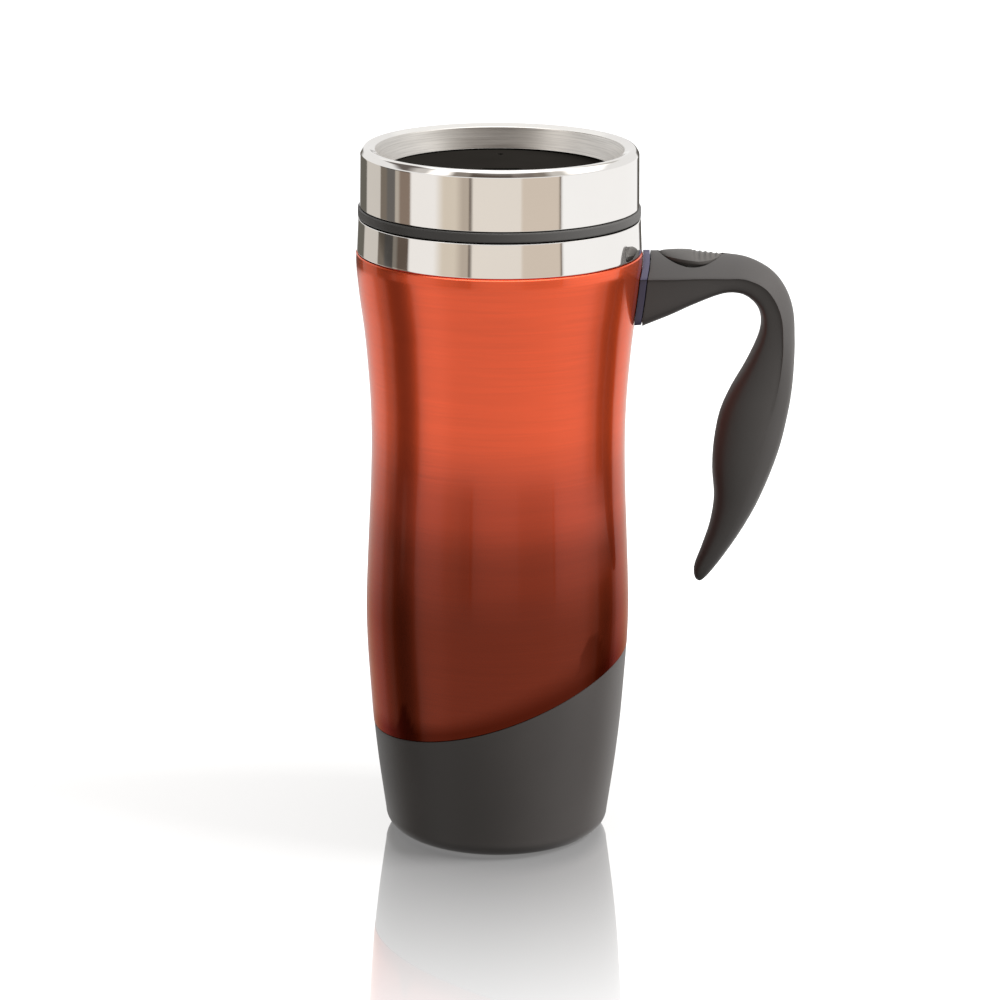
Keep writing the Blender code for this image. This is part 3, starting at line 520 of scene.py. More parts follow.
shell = {
    "wall": 2.0,
    "shoulder": 177.7,
    "neck": 40.35,
    "neckBore": 38.6,
    "neckTop": 186.6,
    "shoulderRound": 0.3,
    "boreTop": 176.6,
    "aboveWave": 0.02,
    "edgeRound": 0.2,
    "lineParts": (74, 30),  # outside and inside
    "fade": 125.0,  # the wave dies out up to here
    "lipRise": 2.6,  # height of the full painted shade above the boot's edge, and how far it fades above that, at the back of the wave and towards the handle
    "shadeFade": (5.0, 10.0),  # at the back of the wave and towards the handle
    "shadeTurn": (105.0, 50.0),  # degrees from the handle where the wider fade sets in, and how soon it is full
    "shadePower": 1.4,
    "shadeDepth": 0.9,
    "reflectionLobes": [  # painted reflections: angle from the handle, half width, height, depth
        (45.0, 9.0, 16.5, 0.55), (136.0, 9.5, 12.5, 0.95),
    ],
    "reflectionLobeSoft": 1.2,
}


def paintedShadeAboveBoot(angle, rise):  # how much painted shade, and painted reflection in the lobes, falls on a point above the boot's edge
    low, (fade, widest) = shell["lipRise"], shell["shadeFade"]
    start, soon = shell["shadeTurn"]
    fade += (widest - fade) * min(max((start - abs(math.degrees(angle))) / soon, 0.0), 1.0)
    shade = min(max((low + fade - rise) / fade, 0.0), 1.0) ** shell["shadePower"] * shell["shadeDepth"]
    for middle, half, top, depth in shell["reflectionLobes"]:
        off = abs(abs(math.degrees(angle)) - middle) / half
        if off < 1:
            crown = top * math.sqrt(1 - off * off) if middle < 90 else top * (1 - off)
            shade = max(shade, depth * min(max((crown - rise) / shell["reflectionLobeSoft"], 0.0), 1.0))
    return shade


def makeShell():
    edge = body["waveMean"] + shell["aboveWave"]
    corner, wall = shell["shoulderRound"], shell["wall"]
    many, few = shell["lineParts"]
    neck = [(shell["neck"], shell["neckTop"]), (shell["neck"], shell["shoulder"])]
    outside = bodyLine(shell["shoulder"] - corner, edge + shell["edgeRound"], 0, many)
    outside = [(outside[0][0] - corner, shell["shoulder"])] + outside
    rim = [(bodyRadius(edge) - shell["edgeRound"], edge)]
    inside = [(bodyRadius(edge) - wall, edge)] + bodyLine(edge + 2, shell["boreTop"], wall, few)
    bore = [(shell["neckBore"], shell["shoulder"]), (shell["neckBore"], shell["neckTop"])]
    piece = spinLine(neck + outside + rim + inside + bore + neck[:1], body["turnSteps"])
    followWave(piece, edge, shell["fade"])
    # painted shade and painted reflections above the boot's edge, stored on each point
    shade = piece.data.attributes.new("paintedShadeAboveBoot", "FLOAT", "POINT")
    for vertex in piece.data.vertices:
        x, y, z = (c / mm for c in vertex.co)
        angle = math.atan2(y, x)
        shade.data[vertex.index].value = paintedShadeAboveBoot(angle, z - body["waveMean"] - waveLift(angle))
    keepPiece(piece, "red_shell", redShell(), "mug", "red_shell", "outer_shell", angle=30)


boot = {
    "inset": 0.08,
    "inner": 3.5,
    "belowWave": 0.05,
    "edgeRound": 0.4,
    "lipInset": 2.3,
    "lipRise": 6.0,
    "still": 12.0,  # the wave doesn't move anything below here
    "bottom": 0.35,
    "corner": 5.0,
    "floor": 4.0,
    "padRadius": 26.0,
    "padTop": 1.7,
    "padRoom": 0.3,
    "padGrooves": (7.0, 11.0, 15.0, 19.0, 23.0),
    "groove": ((0.7, 0.0), (0.4, 0.5), (-0.4, 0.5), (-0.7, 0.0)),  # across and up, outer side first
    "grooveRound": 0.15,
}


def makeBoot():
    mean, bottom = body["waveMean"], boot["bottom"]
    edge = mean - boot["belowWave"]
    start = bottom + boot["corner"]
    outside = bodyLine(edge - boot["edgeRound"], start, boot["inset"], 30)
    foot = bodyRadius(start) - boot["inset"]
    line = [(0, boot["floor"])] + bodyLine(boot["floor"], mean + boot["lipRise"], boot["inner"], 14)
    line += bodyLine(mean + boot["lipRise"], edge, boot["lipInset"], 6)
    line.append((bodyRadius(edge) - boot["edgeRound"], edge))
    line.append((bodyRadius(edge) - boot["inset"] - 0.04, edge - 0.06))
    line += outside
    for i in range(1, 10):  # round the foot's corner
        a = math.radians(10 * i)
        line.append((foot - boot["corner"] * (1 - math.cos(a)), start - boot["corner"] * math.sin(a)))
    room = boot["padRoom"]
    top = boot["padTop"] + room
    line += [(boot["padRadius"] + 2 * room, bottom), (boot["padRadius"] + room, bottom + room)]
    line += [(boot["padRadius"] + room, top), (0, top)]
    piece = spinLine(line, body["turnSteps"])
    followWave(piece, edge, boot["still"])
    keepPiece(piece, "soft_boot", finishes["boot"], "mug", "soft_black", "base_boot", angle=40)

    top, radius = boot["padTop"], boot["padRadius"]
    corners = [(0, top, 0), (radius, top, 0.4), (radius, 0.0, 0.5)]
    for middle in reversed(boot["padGrooves"]):
        corners += [(middle + across, up, boot["grooveRound"]) for across, up in boot["groove"]]
    pad = spinLine(softCorners(corners + [(0, 0.0, 0)], parts=3), 128)
    keepPiece(pad, "ribbed_foot", finishes["pad"], "mug", "foot_pad", "foot_pad")


steel = {
    "band": [(40.6, 187.85, 0.2), (41.15, 187.85, 0.35), (41.6, 178.05, 0.35), (41.05, 178.05, 0.2)],
    "ring": [  # up the outside, over the lip, down the funnel, then back inside the sheet
        (40.65, 191.3, 0.15), (40.45, 206.6, 0.9), (39.15, 208.8, 1.7), (36.1, 207.7, 0.5),
        (33.2, 201.65, 0.15), (34.0, 201.65, 0.15), (36.7, 207.0, 0.4), (38.4, 207.9, 0.6),
        (39.7, 206.4, 0.6), (39.85, 191.3, 0.15),
    ],
    "funnelTop": 207.75,  # faces below here that look inwards by this much are brushed
    "inwards": 0.5,
    "liner": [  # inside from the floor up, over the flange and back down the outside
        (0, 12.5, 0), (29.6, 12.5, 8.0), (31.5, 170.0, 12.0), (36.3, 177.5, 5.0), (36.3, 187.45, 0.9),
        (40.3, 187.45, 0.25), (40.3, 186.95, 0.1), (36.8, 186.95, 0.4), (36.8, 177.4, 5.0),
        (32.0, 170.0, 12.0), (30.1, 12.0, 8.5), (0, 12.0, 0),
    ],
}


def makeSteel():
    band = spinLine(softCorners(steel["band"], closed=True), body["turnSteps"])
    keepPiece(band, "polished_band", finishes["polished"], "mug", "polished_steel", "rim_band")
    ring = spinLine(softCorners(steel["ring"], closed=True, parts=10), body["turnSteps"])
    keepPiece(ring, "polished_ring", finishes["polished"], "lid", "polished_steel", "lid_ring")
    ring.data.materials.append(finishes["ringInner"])
    for face in ring.data.polygons:  # the funnel inside the lip is brushed, not polished
        outward = face.center.x * face.normal.x + face.center.y * face.normal.y
        enough = -steel["inwards"] * math.hypot(face.center.x, face.center.y)
        if face.center.z < steel["funnelTop"] * mm and outward < enough:
            face.material_index = 1
    liner = spinLine(softCorners(steel["liner"], parts=8), 160)
    keepPiece(liner, "steel_liner", finishes["liner"], "mug", "brushed_steel", "inner_liner")


lid = {
    "corners": [
        (0, 201.3, 0), (39.3, 201.3, 0.2), (39.3, 191.0, 0), (41.2, 191.0, 0.45), (41.2, 188.2, 0.45),
        (35.2, 188.2, 0), (35.2, 183.5, 0.25), (33.9, 183.5, 0), (33.9, 179.9, 0), (35.2, 179.9, 0.25),
        (35.2, 178.3, 0.6), (32.2, 178.3, 0.6), (32.2, 196.3, 1.2), (0, 196.3, 0),
    ],
    "seal": [
        (34.2, 183.2, 0.2), (35.3, 183.2, 0.3), (35.45, 182.65, 0.15), (36.0, 182.35, 0.3),
        (35.45, 182.0, 0.15), (35.45, 181.4, 0.15), (36.0, 181.05, 0.3), (35.45, 180.75, 0.15),
        (35.3, 180.2, 0.3), (34.2, 180.2, 0.2),
    ],
    "cuts": (195.0, 203.0),  # heights that the openings are cut from and to
    "sip": (4.8, -27.9, 1.95, 1.9),  # half length, place, half width and corner of the sip hole
    "clipSlot": (2.5, -17.9, -5.1, 0.6),  # half width, front, back, corner
    "recessCorner": 2.6,
    "vent": (26.0, 1.0),  # place and radius
    "greyFrom": 39.6,
}

slider = {
    "half": 6.5,
    "front": -31.6,
    "back": -4.0,
    "travel": 7.0,
    "top": 201.0,
    "bottom": 198.6,
    "corner": 2.3,
    "edge": 0.35,
    "room": 0.3,  # gap to the lid
    "hollow": ((5.9, -30.9, -24.9), 1.4, 1.8),  # (half, front, back), depth and corner, for the gasket
    "grip": ((4.5, -24.4, -20.8), 3.1, 1.5, 0.7),  # (half, front, back), height, corner, edge
    "fingerPitch": 1.6,
    "fingerHalf": 0.3,
    "fingerDepth": 0.4,
    "stem": ((2.2, -17.6, -12.4), 196.3, 0.5),  # (half, front, back), lower end, corner
    "screw": (-15.0, 1.3, 193.0, 199.8),  # place, radius, from and to
}


def uprightHole(y, radius, low, high):  # a round cutter on the lid's centre line
    return rod((0, y, (low + high) / 2), radius, high - low, 48)


def makeLid():
    piece = spinLine(softCorners(lid["corners"], parts=4), body["turnSteps"])
    room = slider["room"]
    half, front = slider["half"] + room, slider["front"] - room
    back = slider["back"] + slider["travel"] + room
    length, middle, width, corner = lid["sip"]
    clipHalf, clipFront, clipBack, clipCorner = lid["clipSlot"]
    low, high = lid["cuts"]
    cutAway(
        piece,
        roundedBlock((-half, front, slider["bottom"] - room), (half, back, high), lid["recessCorner"], 0),
        roundedBlock((-length, middle - width, low), (length, middle + width, high), corner, 0),
        roundedBlock((-clipHalf, clipFront, low), (clipHalf, clipBack, high), clipCorner, 0),
        uprightHole(*lid["vent"], low, high),
    )
    keepPiece(piece, "black_lid", finishes["lid"], "lid", "lid_black", "lid_body", angle=30)
    piece.data.materials.append(finishes["flange"])
    for face in piece.data.polygons:  # the flange's edge keeps the plain black plastic; the floor is darker, with painted shade
        if math.hypot(face.center.x, face.center.y) > lid["greyFrom"] * mm:
            face.material_index = 1

    seal = spinLine(softCorners(lid["seal"], closed=True, parts=4), 160)
    keepPiece(seal, "ribbed_seal", finishes["seal"], "lid", "seal_rubber", "lid_seal")


def makeSlider():
    half, front, back = slider["half"], slider["front"], slider["back"]
    bottom, top = slider["bottom"], slider["top"]
    plate = roundedBlock((-half, front, bottom), (half, back, top), slider["corner"], slider["edge"])
    (half, front, back), depth, corner = slider["hollow"]
    cutAway(plate, roundedBlock((-half, front, bottom - 1), (half, back, bottom + depth), corner, 0))
    (half, front, back), height, corner, edge = slider["grip"]
    grip = roundedBlock((-half, front, top - 1.0), (half, back, top + height), corner, edge, topOnly=True)
    narrow, floor = slider["fingerHalf"], top + height - slider["fingerDepth"]
    for side in (-2, -1, 0, 1, 2):  # shallow finger grooves over the grip
        x = side * slider["fingerPitch"]
        low, high = (x - narrow, front - 1.6, floor), (x + narrow, back + 1.8, top + 4)
        cutAway(grip, roundedBlock(low, high, 0.15, 0))
    boolean(plate, grip, "UNION")
    (half, front, back), low, corner = slider["stem"]
    boolean(plate, roundedBlock((-half, front, low), (half, back, bottom + 0.8), corner, 0), "UNION")
    cutAway(plate, uprightHole(*slider["screw"]))
    keepPiece(plate, "grip_slider", finishes["slider"], "slider", "lid_black", "sip_slider", angle=30)


# handle, thumb button and strip

handle = {
    # outer edge (x, z), inner edge (x, z), half width, depth of the crease, and share eased to an oval
    "sections": [
        (36.0, 177.8, 35.0, 152.6, 8.6, 7.1, 0),
        (44.0, 177.9, 42.3, 155.9, 8.6, 7.1, 0),
        (51.0, 177.9, 50.0, 159.1, 8.5, 7.0, 0),
        (58.0, 177.8, 57.2, 162.5, 8.2, 6.7, 0),
        (65.8, 177.2, 65.2, 165.6, 7.6, 6.2, 0),
        (72.8, 176.0, 70.4, 165.6, 7.1, 5.4, 0),
        (79.4, 172.5, 73.9, 163.6, 6.8, 4.8, 0),
        (83.8, 167.2, 76.1, 160.6, 6.6, 4.5, 0),
        (86.3, 160.3, 76.9, 156.6, 6.6, 4.1, 0.05),
        (87.0, 152.0, 76.0, 151.9, 6.7, 3.9, 0.25),
        (87.0, 144.0, 72.6, 144.4, 7.0, 4.1, 0.6),
        (86.5, 136.0, 68.3, 136.6, 7.4, 4.6, 0.9),
        (85.4, 128.4, 65.3, 129.2, 7.8, 5.2, 1),
        (83.5, 119.4, 63.8, 120.6, 8.0, 5.6, 1),
        (80.6, 110.4, 63.5, 112.2, 7.8, 5.3, 1),
        (76.8, 101.2, 64.2, 103.4, 7.0, 4.4, 1),
        (72.4, 93.0, 63.2, 95.4, 5.9, 3.3, 1),
        (67.4, 85.2, 61.0, 88.2, 4.6, 2.4, 1),
        (63.6, 80.0, 59.0, 82.6, 3.4, 1.6, 1),
        (61.6, 77.8, 58.7, 79.7, 2.3, 1.0, 1),
        (60.6, 77.15, 59.2, 78.0, 1.1, 0.5, 1),
    ],
    "blend": 6,
    "crownRound": 0.35,  # how broad the crown's rounded ridge is, as a share of the half width
    "step": 0.28,  # the sides start this far inside the crown's edge
    "narrow": 0.94,  # how much of the half width is left at the inner face
    "underRound": (0.24, 4.6),  # depth of the round inner face: share of the thickness, and the most
    "underPower": 0.8,  # 1 is round, less is squarer
    "ovalPower": 2.25,  # 2 is an ellipse, more is squarer
    "gap": 2.4,  # from the red shell to the handle's root
    "stripOut": 2.1,
    "stripBottom": 157.1,
    "stripGap": 0.25,  # from the red shell to the strip
    "stripProud": 0.12,  # the strip stands past the handle's root by this much
    "edges": (0.5, 0.45),  # width of the softened edges of handle and strip
    "pockets": [  # for the pin's boss, the button's latch, and the rail
        ((60.8, -2.3, 170.7), (66.2, 2.3, 175.6)), ((44.9, -2.1, 165.4), (49.9, 2.1, 175.6)),
        ((38.0, -4.3, 158.2), (45.8, 4.3, 174.9)),
    ],
    "pocketTop": 184.0,
    "pinHalf": 3.9,
    "rail": ((42.6, -4.0, 158.5), (45.5, 4.0, 174.6)),
    "railNotch": ((44.6, -5.0, 166.2), (46.5, 5.0, 170.3)),
}

button = {
    "rows": [  # x, height of the crown, drop to the sides, half width
        (46.5, 177.6, 0.25, 0.35), (47.4, 178.0, 0.9, 1.6), (49.4, 178.25, 1.6, 3.1),
        (52.4, 178.35, 2.1, 4.4), (55.4, 178.25, 2.35, 5.0), (58.4, 177.9, 2.3, 4.75),
        (61.4, 177.6, 1.8, 3.6), (63.8, 177.3, 1.0, 1.9), (65.1, 176.9, 0.3, 0.45),
    ],
    "ribs": (56.2, 64.4, 1.62, 0.34),  # from x to x, pitch and depth of the cross ribs
    "thick": 1.0,
    "skirt": 0.9,  # how far the walls under the cap are set back
    "floor": 172.4,  # the pocket's floor
    "clear": 0.55,  # the walls end this far above it when the button is down
    "tip": 7.0,  # degrees of travel
    "pin": (63.6, 173.6),
    "pinRadius": 1.1,
    "pinHalf": 4.0,
    "room": 0.55,  # gap from the cap to its pocket
    "tabs": [  # the pin's boss, the latch and its hook: two corners and the corner radius
        ((61.7, -2.0, 171.7), (65.3, 2.0, 175.9), 0.3), ((46.9, -1.8, 168.0), (48.6, 1.8, 176.0), 0.3),
        ((45.0, -1.8, 168.0), (47.4, 1.8, 169.9), 0.2),
    ],
}


def handleRing(section, grow=0.0):
    outerX, outerZ, innerX, innerZ, half, crease, ease = section
    outer, inner = Vector((outerX, 0, outerZ)), Vector((innerX, 0, innerZ))
    down = (inner - outer).normalized()
    outer -= down * grow
    thick = (inner - outer).length + grow
    half += grow
    share, most = handle["underRound"]
    under = min(thick * share, most)
    narrow = half * handle["narrow"]
    soft = handle["crownRound"]
    step = min(handle["step"], half * 0.06)
    points = []
    for i in range(-12, 13):  # the crowned outer face
        t = i / 12
        drop = (math.hypot(t, soft) - soft) / (math.hypot(1, soft) - soft)
        points.append((half * t, crease * drop))
    sides = []
    for i in range(7):  # a fine step, and down a flat side
        t = i / 7
        sides.append((half - step + (narrow - half) * t, crease + step * 0.6 + (thick - under - crease) * t))
    points += sides
    bend = handle["underPower"]
    for i in range(17):  # round the inner face
        a = math.pi * i / 16
        across = math.copysign(abs(math.cos(a)) ** bend, math.cos(a))
        points.append(((narrow - step) * across, thick - under + under * math.sin(a) ** bend))
    points += [(-across, depth) for across, depth in reversed(sides)]
    ring = []
    power, middle, ease = handle["ovalPower"], thick / 2, min(max(ease, 0.0), 1.0)
    for across, depth in points:
        size = (abs(across / half) ** power + abs(depth / middle - 1) ** power) ** (1 / power)
        scale = 1 + (1 / size - 1) * ease
        sunk = down * (middle + (depth - middle) * scale)
        ring.append((outer + sunk + Vector((0, across * scale, 0))) * mm)
    return ring


def bodyTool(out, top=186.0, bottom=146.0):  # a turned solid that stands off the shell by some distance
    line = [(0, top)] + bodyLine(top, bottom, -out, 16) + [(0, bottom)]
    return spinLine(line, 240)


def leafTool(margin, low, high):  # upright cutter with the button's outline
    rows = smoothRows(button["rows"], 4)
    near = [(x, half + margin) for x, _, _, half in rows]
    far = [(x, -y) for x, y in reversed(near)]
    outline = [(rows[0][0] - margin * 1.3, 0)] + near + [(rows[-1][0] + margin, 0)] + far
    rings = [[Vector((x, y, z)) * mm for x, y in outline] for z in (low, high)]
    return loftRings("leaf_tool", rings)


spring = {
    "foot": (53.0, 0.0, 166.6),
    "pressed": 0.79,  # share of its height that is left with the button down
    "hole": (2.9, 170.8, 9.0),  # radius, middle height and length of the hole round it
    "weld": 0.001,  # points closer than this are joined
}


def pinHole(half):
    x, z = button["pin"]
    return rod((x, 0, z), button["pinRadius"], 2 * half, sideways=True)


def springHole():
    radius, middle, length = spring["hole"]
    return rod((spring["foot"][0], 0, middle), radius, length)


def makeHandle():
    rings = [handleRing(section) for section in smoothRows(handle["sections"], handle["blend"])]
    piece = loftRings("grip", rings)
    cutAway(piece, bodyTool(handle["gap"]))
    softenEdges(piece, handle["edges"][0], 55)
    cutAway(piece, leafTool(button["room"], button["floor"], handle["pocketTop"]))
    for low, high in handle["pockets"]:
        cutAway(piece, roundedBlock(low, high, 0.3, 0))
    cutAway(piece, pinHole(handle["pinHalf"]))
    cutAway(piece, springHole())
    keepPiece(piece, "open_handle", finishes["handle"], "mug", "soft_black", "handle", angle=38)


def makeStrip():
    rings = [handleRing(section, handle["stripProud"]) for section in smoothRows(handle["sections"][:3], 8)]
    piece = loftRings("strip", rings)
    boolean(piece, bodyTool(handle["stripOut"], bottom=handle["stripBottom"]), "INTERSECT")
    cutAway(piece, bodyTool(handle["stripGap"]))
    softenEdges(piece, handle["edges"][1])
    rail = roundedBlock(*handle["rail"], 0.3, 0.2)
    cutAway(rail, roundedBlock(*handle["railNotch"], 0.1, 0))
    boolean(piece, rail, "UNION")
    keepPiece(piece, "handle_strip", finishes["strip"], "mug", "bracket_black", "handle_bracket")


def buttonHeight(x, y, crown, drop, half):
    first, last, pitch, depth = button["ribs"]
    height = crown - drop * min(abs(y) / half, 1.0) ** 2
    if first < x < last:
        inside = min((x - first) / 0.5, (last - x) / 0.5, 1.0)
        wave = 0.5 - 0.5 * math.cos(2 * math.pi * (x - first) / pitch)
        edge = max(0.0, 1 - (abs(y) / half) ** 6)
        height -= depth * inside * edge * (1 - wave ** 1.5)
    return height


def makeButton():
    rows = smoothRows(button["rows"], 10)
    rings = []
    for x, crown, drop, half in rows:
        across = [math.sin(math.pi / 2 * i / 12) for i in range(-12, 13)]
        top = [(x, half * s, buttonHeight(x, half * s, crown, drop, half)) for s in across]
        edge = crown - drop
        under = edge - button["thick"]
        inner = max(half - button["skirt"], half * 0.3)
        swing = max(button["pin"][0] - x, 0) * math.tan(math.radians(button["tip"]))
        walls = [(half, edge - button["thick"] * 0.7), (half * 0.97, under), (inner, under)]
        walls.append((inner, button["floor"] + button["clear"] + swing))
        below = [(x, y, min(z, edge - 0.1)) for y, z in walls]
        rings.append([Vector(p) * mm for p in top + below + [(x, -y, z) for _, y, z in reversed(below)]])
    piece = loftRings("cap", rings)
    for low, high, corner in button["tabs"]:
        boolean(piece, roundedBlock(low, high, corner, 0), "UNION")
    cutAway(piece, pinHole(button["pinHalf"]))
    cutAway(piece, springHole())
    keepPiece(piece, "ribbed_button", finishes["button"], "button", "button_black", "thumb_button", angle=40)


def makeSpring():  # the coil keeps its shape
    calm()
    bpy.ops.mesh.primitive_plane_add(size=mm)
    piece = bpy.context.active_object
    piece.data = nodes["button_spring"].data.copy()
    bpy.ops.object.mode_set(mode="EDIT")
    bpy.ops.mesh.select_all(action="SELECT")
    bpy.ops.mesh.remove_doubles(threshold=spring["weld"] * mm)
    bpy.ops.object.mode_set(mode="OBJECT")
    keepPiece(piece, "coil_spring", finishes["screw"], "mug", "screw_steel", "button_spring", angle=60)
    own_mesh(piece)


def dressHidden():  # CAD pieces that keep their shape get a fitting finish
    wanted = {
        "steel_sleeve": "sleeve", "foam_insulation": "foam", "rim_seal": "seal",
        "bracket_screw_upper": "screw", "bracket_screw_lower": "screw", "button_pin": "screw",
        "slider_gasket": "seal", "slider_clip": "lid", "slider_screw": "screw",
    }
    for name, finish in wanted.items():
        for slot in nodes[name].material_slots:
            slot.material = finishes[finish]


makeShell()
makeBoot()
makeSteel()
makeLid()
makeSlider()
makeHandle()
makeStrip()
makeButton()
makeSpring()
dressHidden()
print("pieces made")


# studio: white floor with a mirror patch, a white dome for the camera, and banded light all round

studio = {
    # each band: degrees round from the camera side (positive to the right), how soft that edge is, and colour
    "bands": [
        (-180.0, 0, (1.00, 1.00, 1.00)), (-167.0, 2, (0.14, 0.13, 0.11)), (-141.0, 2, (0.62, 0.58, 0.53)),
        (-114.5, 1, (0.19, 0.16, 0.13)), (-105.5, 1, (0.14, 0.13, 0.12)), (-95.0, 1, (0.46, 0.41, 0.35)),
        (-90.0, 1, (0.25, 0.19, 0.15)), (-77.6, 0.8, (0.90, 0.87, 0.84)), (-50.0, 8, (0.68, 0.60, 0.50)),
        (-33.0, 6, (0.48, 0.41, 0.34)), (-24.6, 1, (0.14, 0.11, 0.09)), (-22.4, 1, (0.80, 0.74, 0.67)),
        (18.0, 1, (0.66, 0.57, 0.48)), (49.5, 0.6, (0.16, 0.12, 0.09)), (51.8, 0.6, (0.97, 0.96, 0.95)),
        (157.0, 2, (0.12, 0.11, 0.10)),
    ],
    "dimmer": (-120.0, -85.0, 0.45),  # the row above repeats the bands, with those between two angles dimmed
    "lowBands": [  # the same, seen lower down
        (-180.0, 0, (0.80, 0.80, 0.80)), (-150.0, 20, (0.88, 0.86, 0.84)), (-122.0, 6, (0.48, 0.44, 0.40)),
        (-105.0, 5, (0.09, 0.07, 0.06)), (-76.0, 4, (0.94, 0.92, 0.89)), (-46.0, 10, (0.80, 0.76, 0.72)),
        (50.0, 6, (0.82, 0.81, 0.79)), (86.0, 8, (0.50, 0.46, 0.42)), (99.0, 3, (0.03, 0.025, 0.02)),
        (121.0, 3, (0.45, 0.42, 0.38)), (127.0, 4, (0.90, 0.88, 0.85)),
    ],
    "highBands": [
        (-180.0, 0, (0.95, 0.94, 0.92)), (-130.0, 10, (0.14, 0.12, 0.11)), (-88.0, 10, (0.60, 0.57, 0.54)),
        (-71.0, 6, (1.45, 1.40, 1.34)), (-50.0, 8, (0.26, 0.23, 0.20)), (-30.0, 4, (0.10, 0.08, 0.065)),
        (13.0, 4, (0.20, 0.17, 0.15)), (35.0, 4, (0.24, 0.21, 0.18)), (50.0, 8, (0.60, 0.57, 0.53)),
        (68.0, 8, (1.55, 1.51, 1.46)), (118.0, 14, (0.55, 0.53, 0.50)), (145.0, 14, (0.95, 0.94, 0.92)),
    ],
    "split": (-14.8, -12.4),  # elevations where one row of bands gives way to the next, going up
    "middle": (-9.0, -8.8),
    "horizon": (-1.0, 5.0),
    "wall": (0.86, 0.85, 0.84),  # plain light wall between the horizon and the gallery
    "gallery": (27.0, 32.0),
    "roof": (50.0, 68.0),
    "roofLight": 2.3,
    "ground": (-52.0, -34.0),
    "groundLight": 0.30,
    # radius from and to, in millimetres, how much the floor mirrors there, and how far out it has faded
    "mirror": (28.0, 140.0, 0.84, 0.52, 1.6),
    "floorRadius": 3.0,  # metres
    "floorDrop": 0.2,  # millimetres under the mug
    "floorMatt": 0.30,
    "floorGlow": 0.84,
    "floorGloss": 0.02,
    "domeRadius": 4.0,
}


def bandRamp(tree, turn, bands):
    stops, last = [], bands[0][2]
    for degrees, soft, colour in bands:
        for place, shown in ((degrees - soft / 2, last), (degrees + soft / 2 + 0.1, colour)):
            stops.append(((max(place, -180.0) + 180) / 360, shown))
        last = colour
    return colourRamp(tree, turn, stops)


def makeWorld():
    world = bpy.data.worlds.new("studio")
    world.use_nodes = True
    tree = world.node_tree
    sky = addNode(tree, "ShaderNodeTexCoord").outputs["Generated"]
    split = addNode(tree, "ShaderNodeSeparateXYZ", {0: sky})
    x, y, z = split.outputs
    toCamera = addNode(tree, "ShaderNodeMath", {0: y}, operation="MULTIPLY", in_1=-1.0)
    angle = addNode(tree, "ShaderNodeMath", {0: x, 1: toCamera.outputs[0]}, operation="ARCTAN2")
    turn = spread(tree, angle.outputs[0], 0.0, 1.0, -math.pi, math.pi)
    level = addNode(tree, "ShaderNodeMath", {0: z}, operation="ARCSINE").outputs[0]

    def above(limits):
        return spread(tree, level, 0.0, 1.0, math.radians(limits[0]), math.radians(limits[1]), soft=True)

    lowest, usual = (bandRamp(tree, turn, studio[name]) for name in ("lowBands", "bands"))
    lower = mixColour(tree, above(studio["split"]), lowest, usual)
    first, last, dim = studio["dimmer"]
    dimmed = []
    for start, soft, colour in studio["bands"]:
        share = dim if first < start < last else 1
        dimmed.append((start, soft, tuple(c * share for c in colour)))
    middle = mixColour(tree, above(studio["middle"]), lower, bandRamp(tree, turn, dimmed))
    walled = mixColour(tree, above(studio["horizon"]), middle, studio["wall"])
    upper = mixColour(tree, above(studio["gallery"]), walled, bandRamp(tree, turn, studio["highBands"]))
    ground, roof = ((studio[name],) * 3 for name in ("groundLight", "roofLight"))
    covered = mixColour(tree, above(studio["roof"]), upper, roof)
    whole = mixColour(tree, above(studio["ground"]), ground, covered)
    tree.links.new(whole, tree.nodes["Background"].inputs["Color"])
    bpy.context.scene.world = world


def makeFloor():
    calm()
    size, place = studio["floorRadius"], (0, 0, -studio["floorDrop"] * mm)
    bpy.ops.mesh.primitive_circle_add(vertices=96, radius=size, fill_type="NGON", location=place)
    bpy.ops.object.transform_apply(location=True, rotation=True, scale=True)
    floor = bpy.context.active_object
    floor.name = "studio_floor"
    made = bpy.data.materials.new("whiteAcrylicTable")
    made.use_nodes = True
    tree = made.node_tree
    tree.nodes.clear()
    near, far, strong, weak, faded = studio["mirror"]
    length = addNode(tree, "ShaderNodeVectorMath", {0: objectPlace(tree)}, operation="LENGTH")
    distance = length.outputs["Value"]
    share = spread(tree, distance, strong, weak, near * mm, far * mm)
    fade = spread(tree, distance, 1.0, 0.0, far * mm, far * faded * mm)
    much = addNode(tree, "ShaderNodeMath", {0: share, 1: fade}, operation="MULTIPLY").outputs[0]
    matt = plainValue(addNode(tree, "ShaderNodeBsdfDiffuse"), Color=studio["floorMatt"])
    glow = plainValue(addNode(tree, "ShaderNodeEmission"), Color=1.0, Strength=studio["floorGlow"])
    white = addNode(tree, "ShaderNodeAddShader", {0: matt.outputs[0], 1: glow.outputs[0]})
    gloss = plainValue(addNode(tree, "ShaderNodeBsdfGlossy"), Color=1.0, Roughness=studio["floorGloss"])
    both = addNode(tree, "ShaderNodeMixShader", {0: much, 1: white.outputs[0], 2: gloss.outputs[0]})
    out = addNode(tree, "ShaderNodeOutputMaterial")
    tree.links.new(both.outputs[0], out.inputs["Surface"])
    floor.data.materials.append(made)
    floor.visible_glossy = False
    floor.visible_diffuse = False


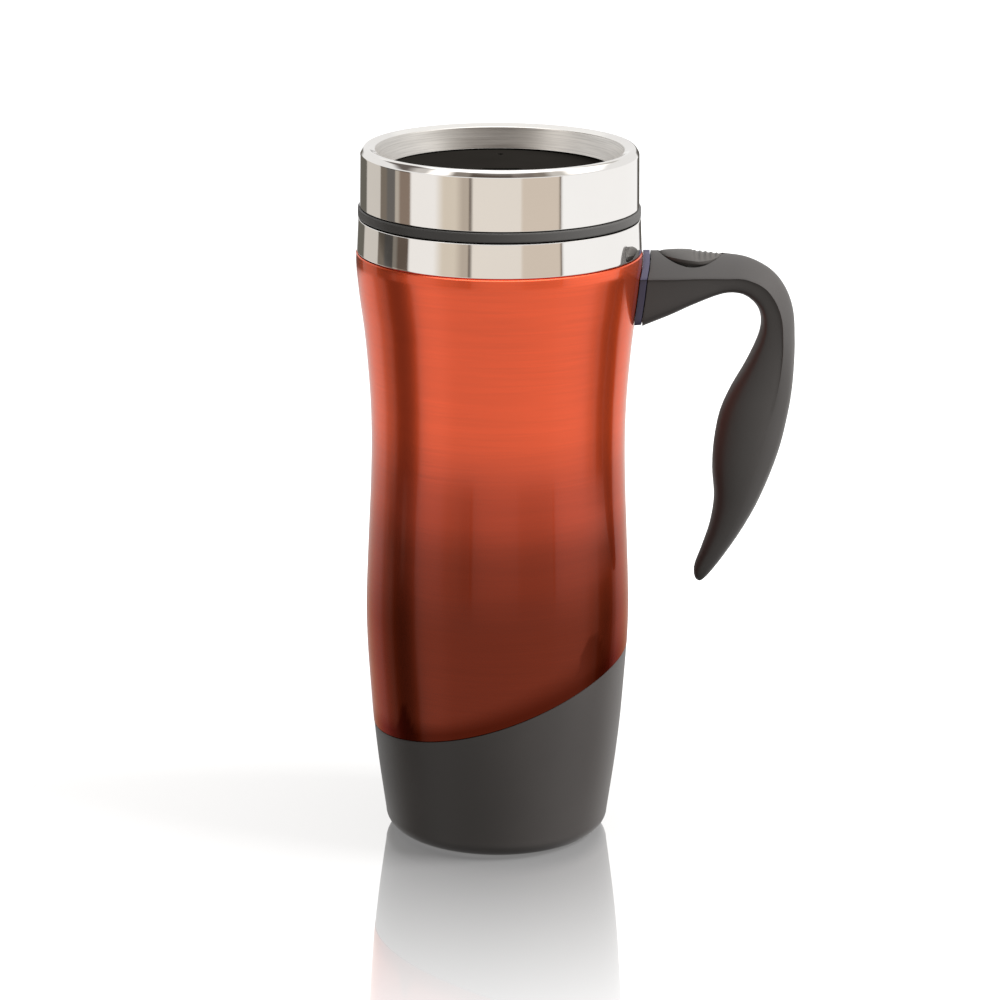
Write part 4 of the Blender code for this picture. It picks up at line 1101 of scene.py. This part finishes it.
def makeDome():
    calm()
    bpy.ops.mesh.primitive_uv_sphere_add(segments=48, ring_count=24, radius=studio["domeRadius"])
    dome = bpy.context.active_object
    dome.name = "studio_dome"
    made = bpy.data.materials.new("whiteBackdrop")
    made.use_nodes = True
    tree = made.node_tree
    tree.nodes.clear()
    glow = plainValue(addNode(tree, "ShaderNodeEmission"), Color=1.0)
    out = addNode(tree, "ShaderNodeOutputMaterial", {"Surface": glow.outputs[0]})
    dome.data.materials.append(made)
    for kind in ("diffuse", "glossy", "transmission", "shadow", "volume_scatter"):
        setattr(dome, "visible_" + kind, False)


keyLight = {
    "direction": (0.80, -0.16, 0.60),  # from the mug: right, a little towards the camera, and up
    "distance": 1.2,  # metres, as is the size
    "size": 0.55,
    "power": 52.0,
    "lift": 0.1,  # metres that the whole light is raised by
}


def makeLight():
    # a soft light from the right for the matt pieces; the polished ones mirror only the bands
    calm()
    where = Vector(keyLight["direction"]).normalized()
    place = where * keyLight["distance"] + Vector((0, 0, keyLight["lift"]))
    bpy.ops.object.light_add(type="AREA", radius=1, location=place)
    lamp = bpy.context.active_object
    lamp.rotation_euler = where.to_track_quat("Z", "Y").to_euler()
    lamp.data.size = keyLight["size"]
    lamp.data.energy = keyLight["power"]
    lamp.visible_glossy = False


cameraPlace = {
    "at": (0.6, -1000.0, 388.2),  # millimetres
    "down": 15.98,  # degrees
    "roll": 0.3,
    "lens": 125.75,
    "sensor": 36.0,
}


def makeCamera():
    calm()
    bpy.ops.object.camera_add()
    camera = bpy.context.active_object
    tilt = Matrix.Rotation(math.radians(90 - cameraPlace["down"]), 4, "X")
    roll = Matrix.Rotation(math.radians(cameraPlace["roll"]), 4, "Z")
    camera.matrix_world = Matrix.Translation(Vector(cameraPlace["at"]) * mm) @ tilt @ roll
    camera.data.lens = cameraPlace["lens"]
    camera.data.sensor_width = cameraPlace["sensor"]
    camera.data.clip_start = 0.01
    bpy.context.scene.camera = camera


makeWorld()
makeFloor()
makeDome()
makeLight()
makeCamera()
bpy.context.scene.view_settings.view_transform = "Standard"
print("studio made")
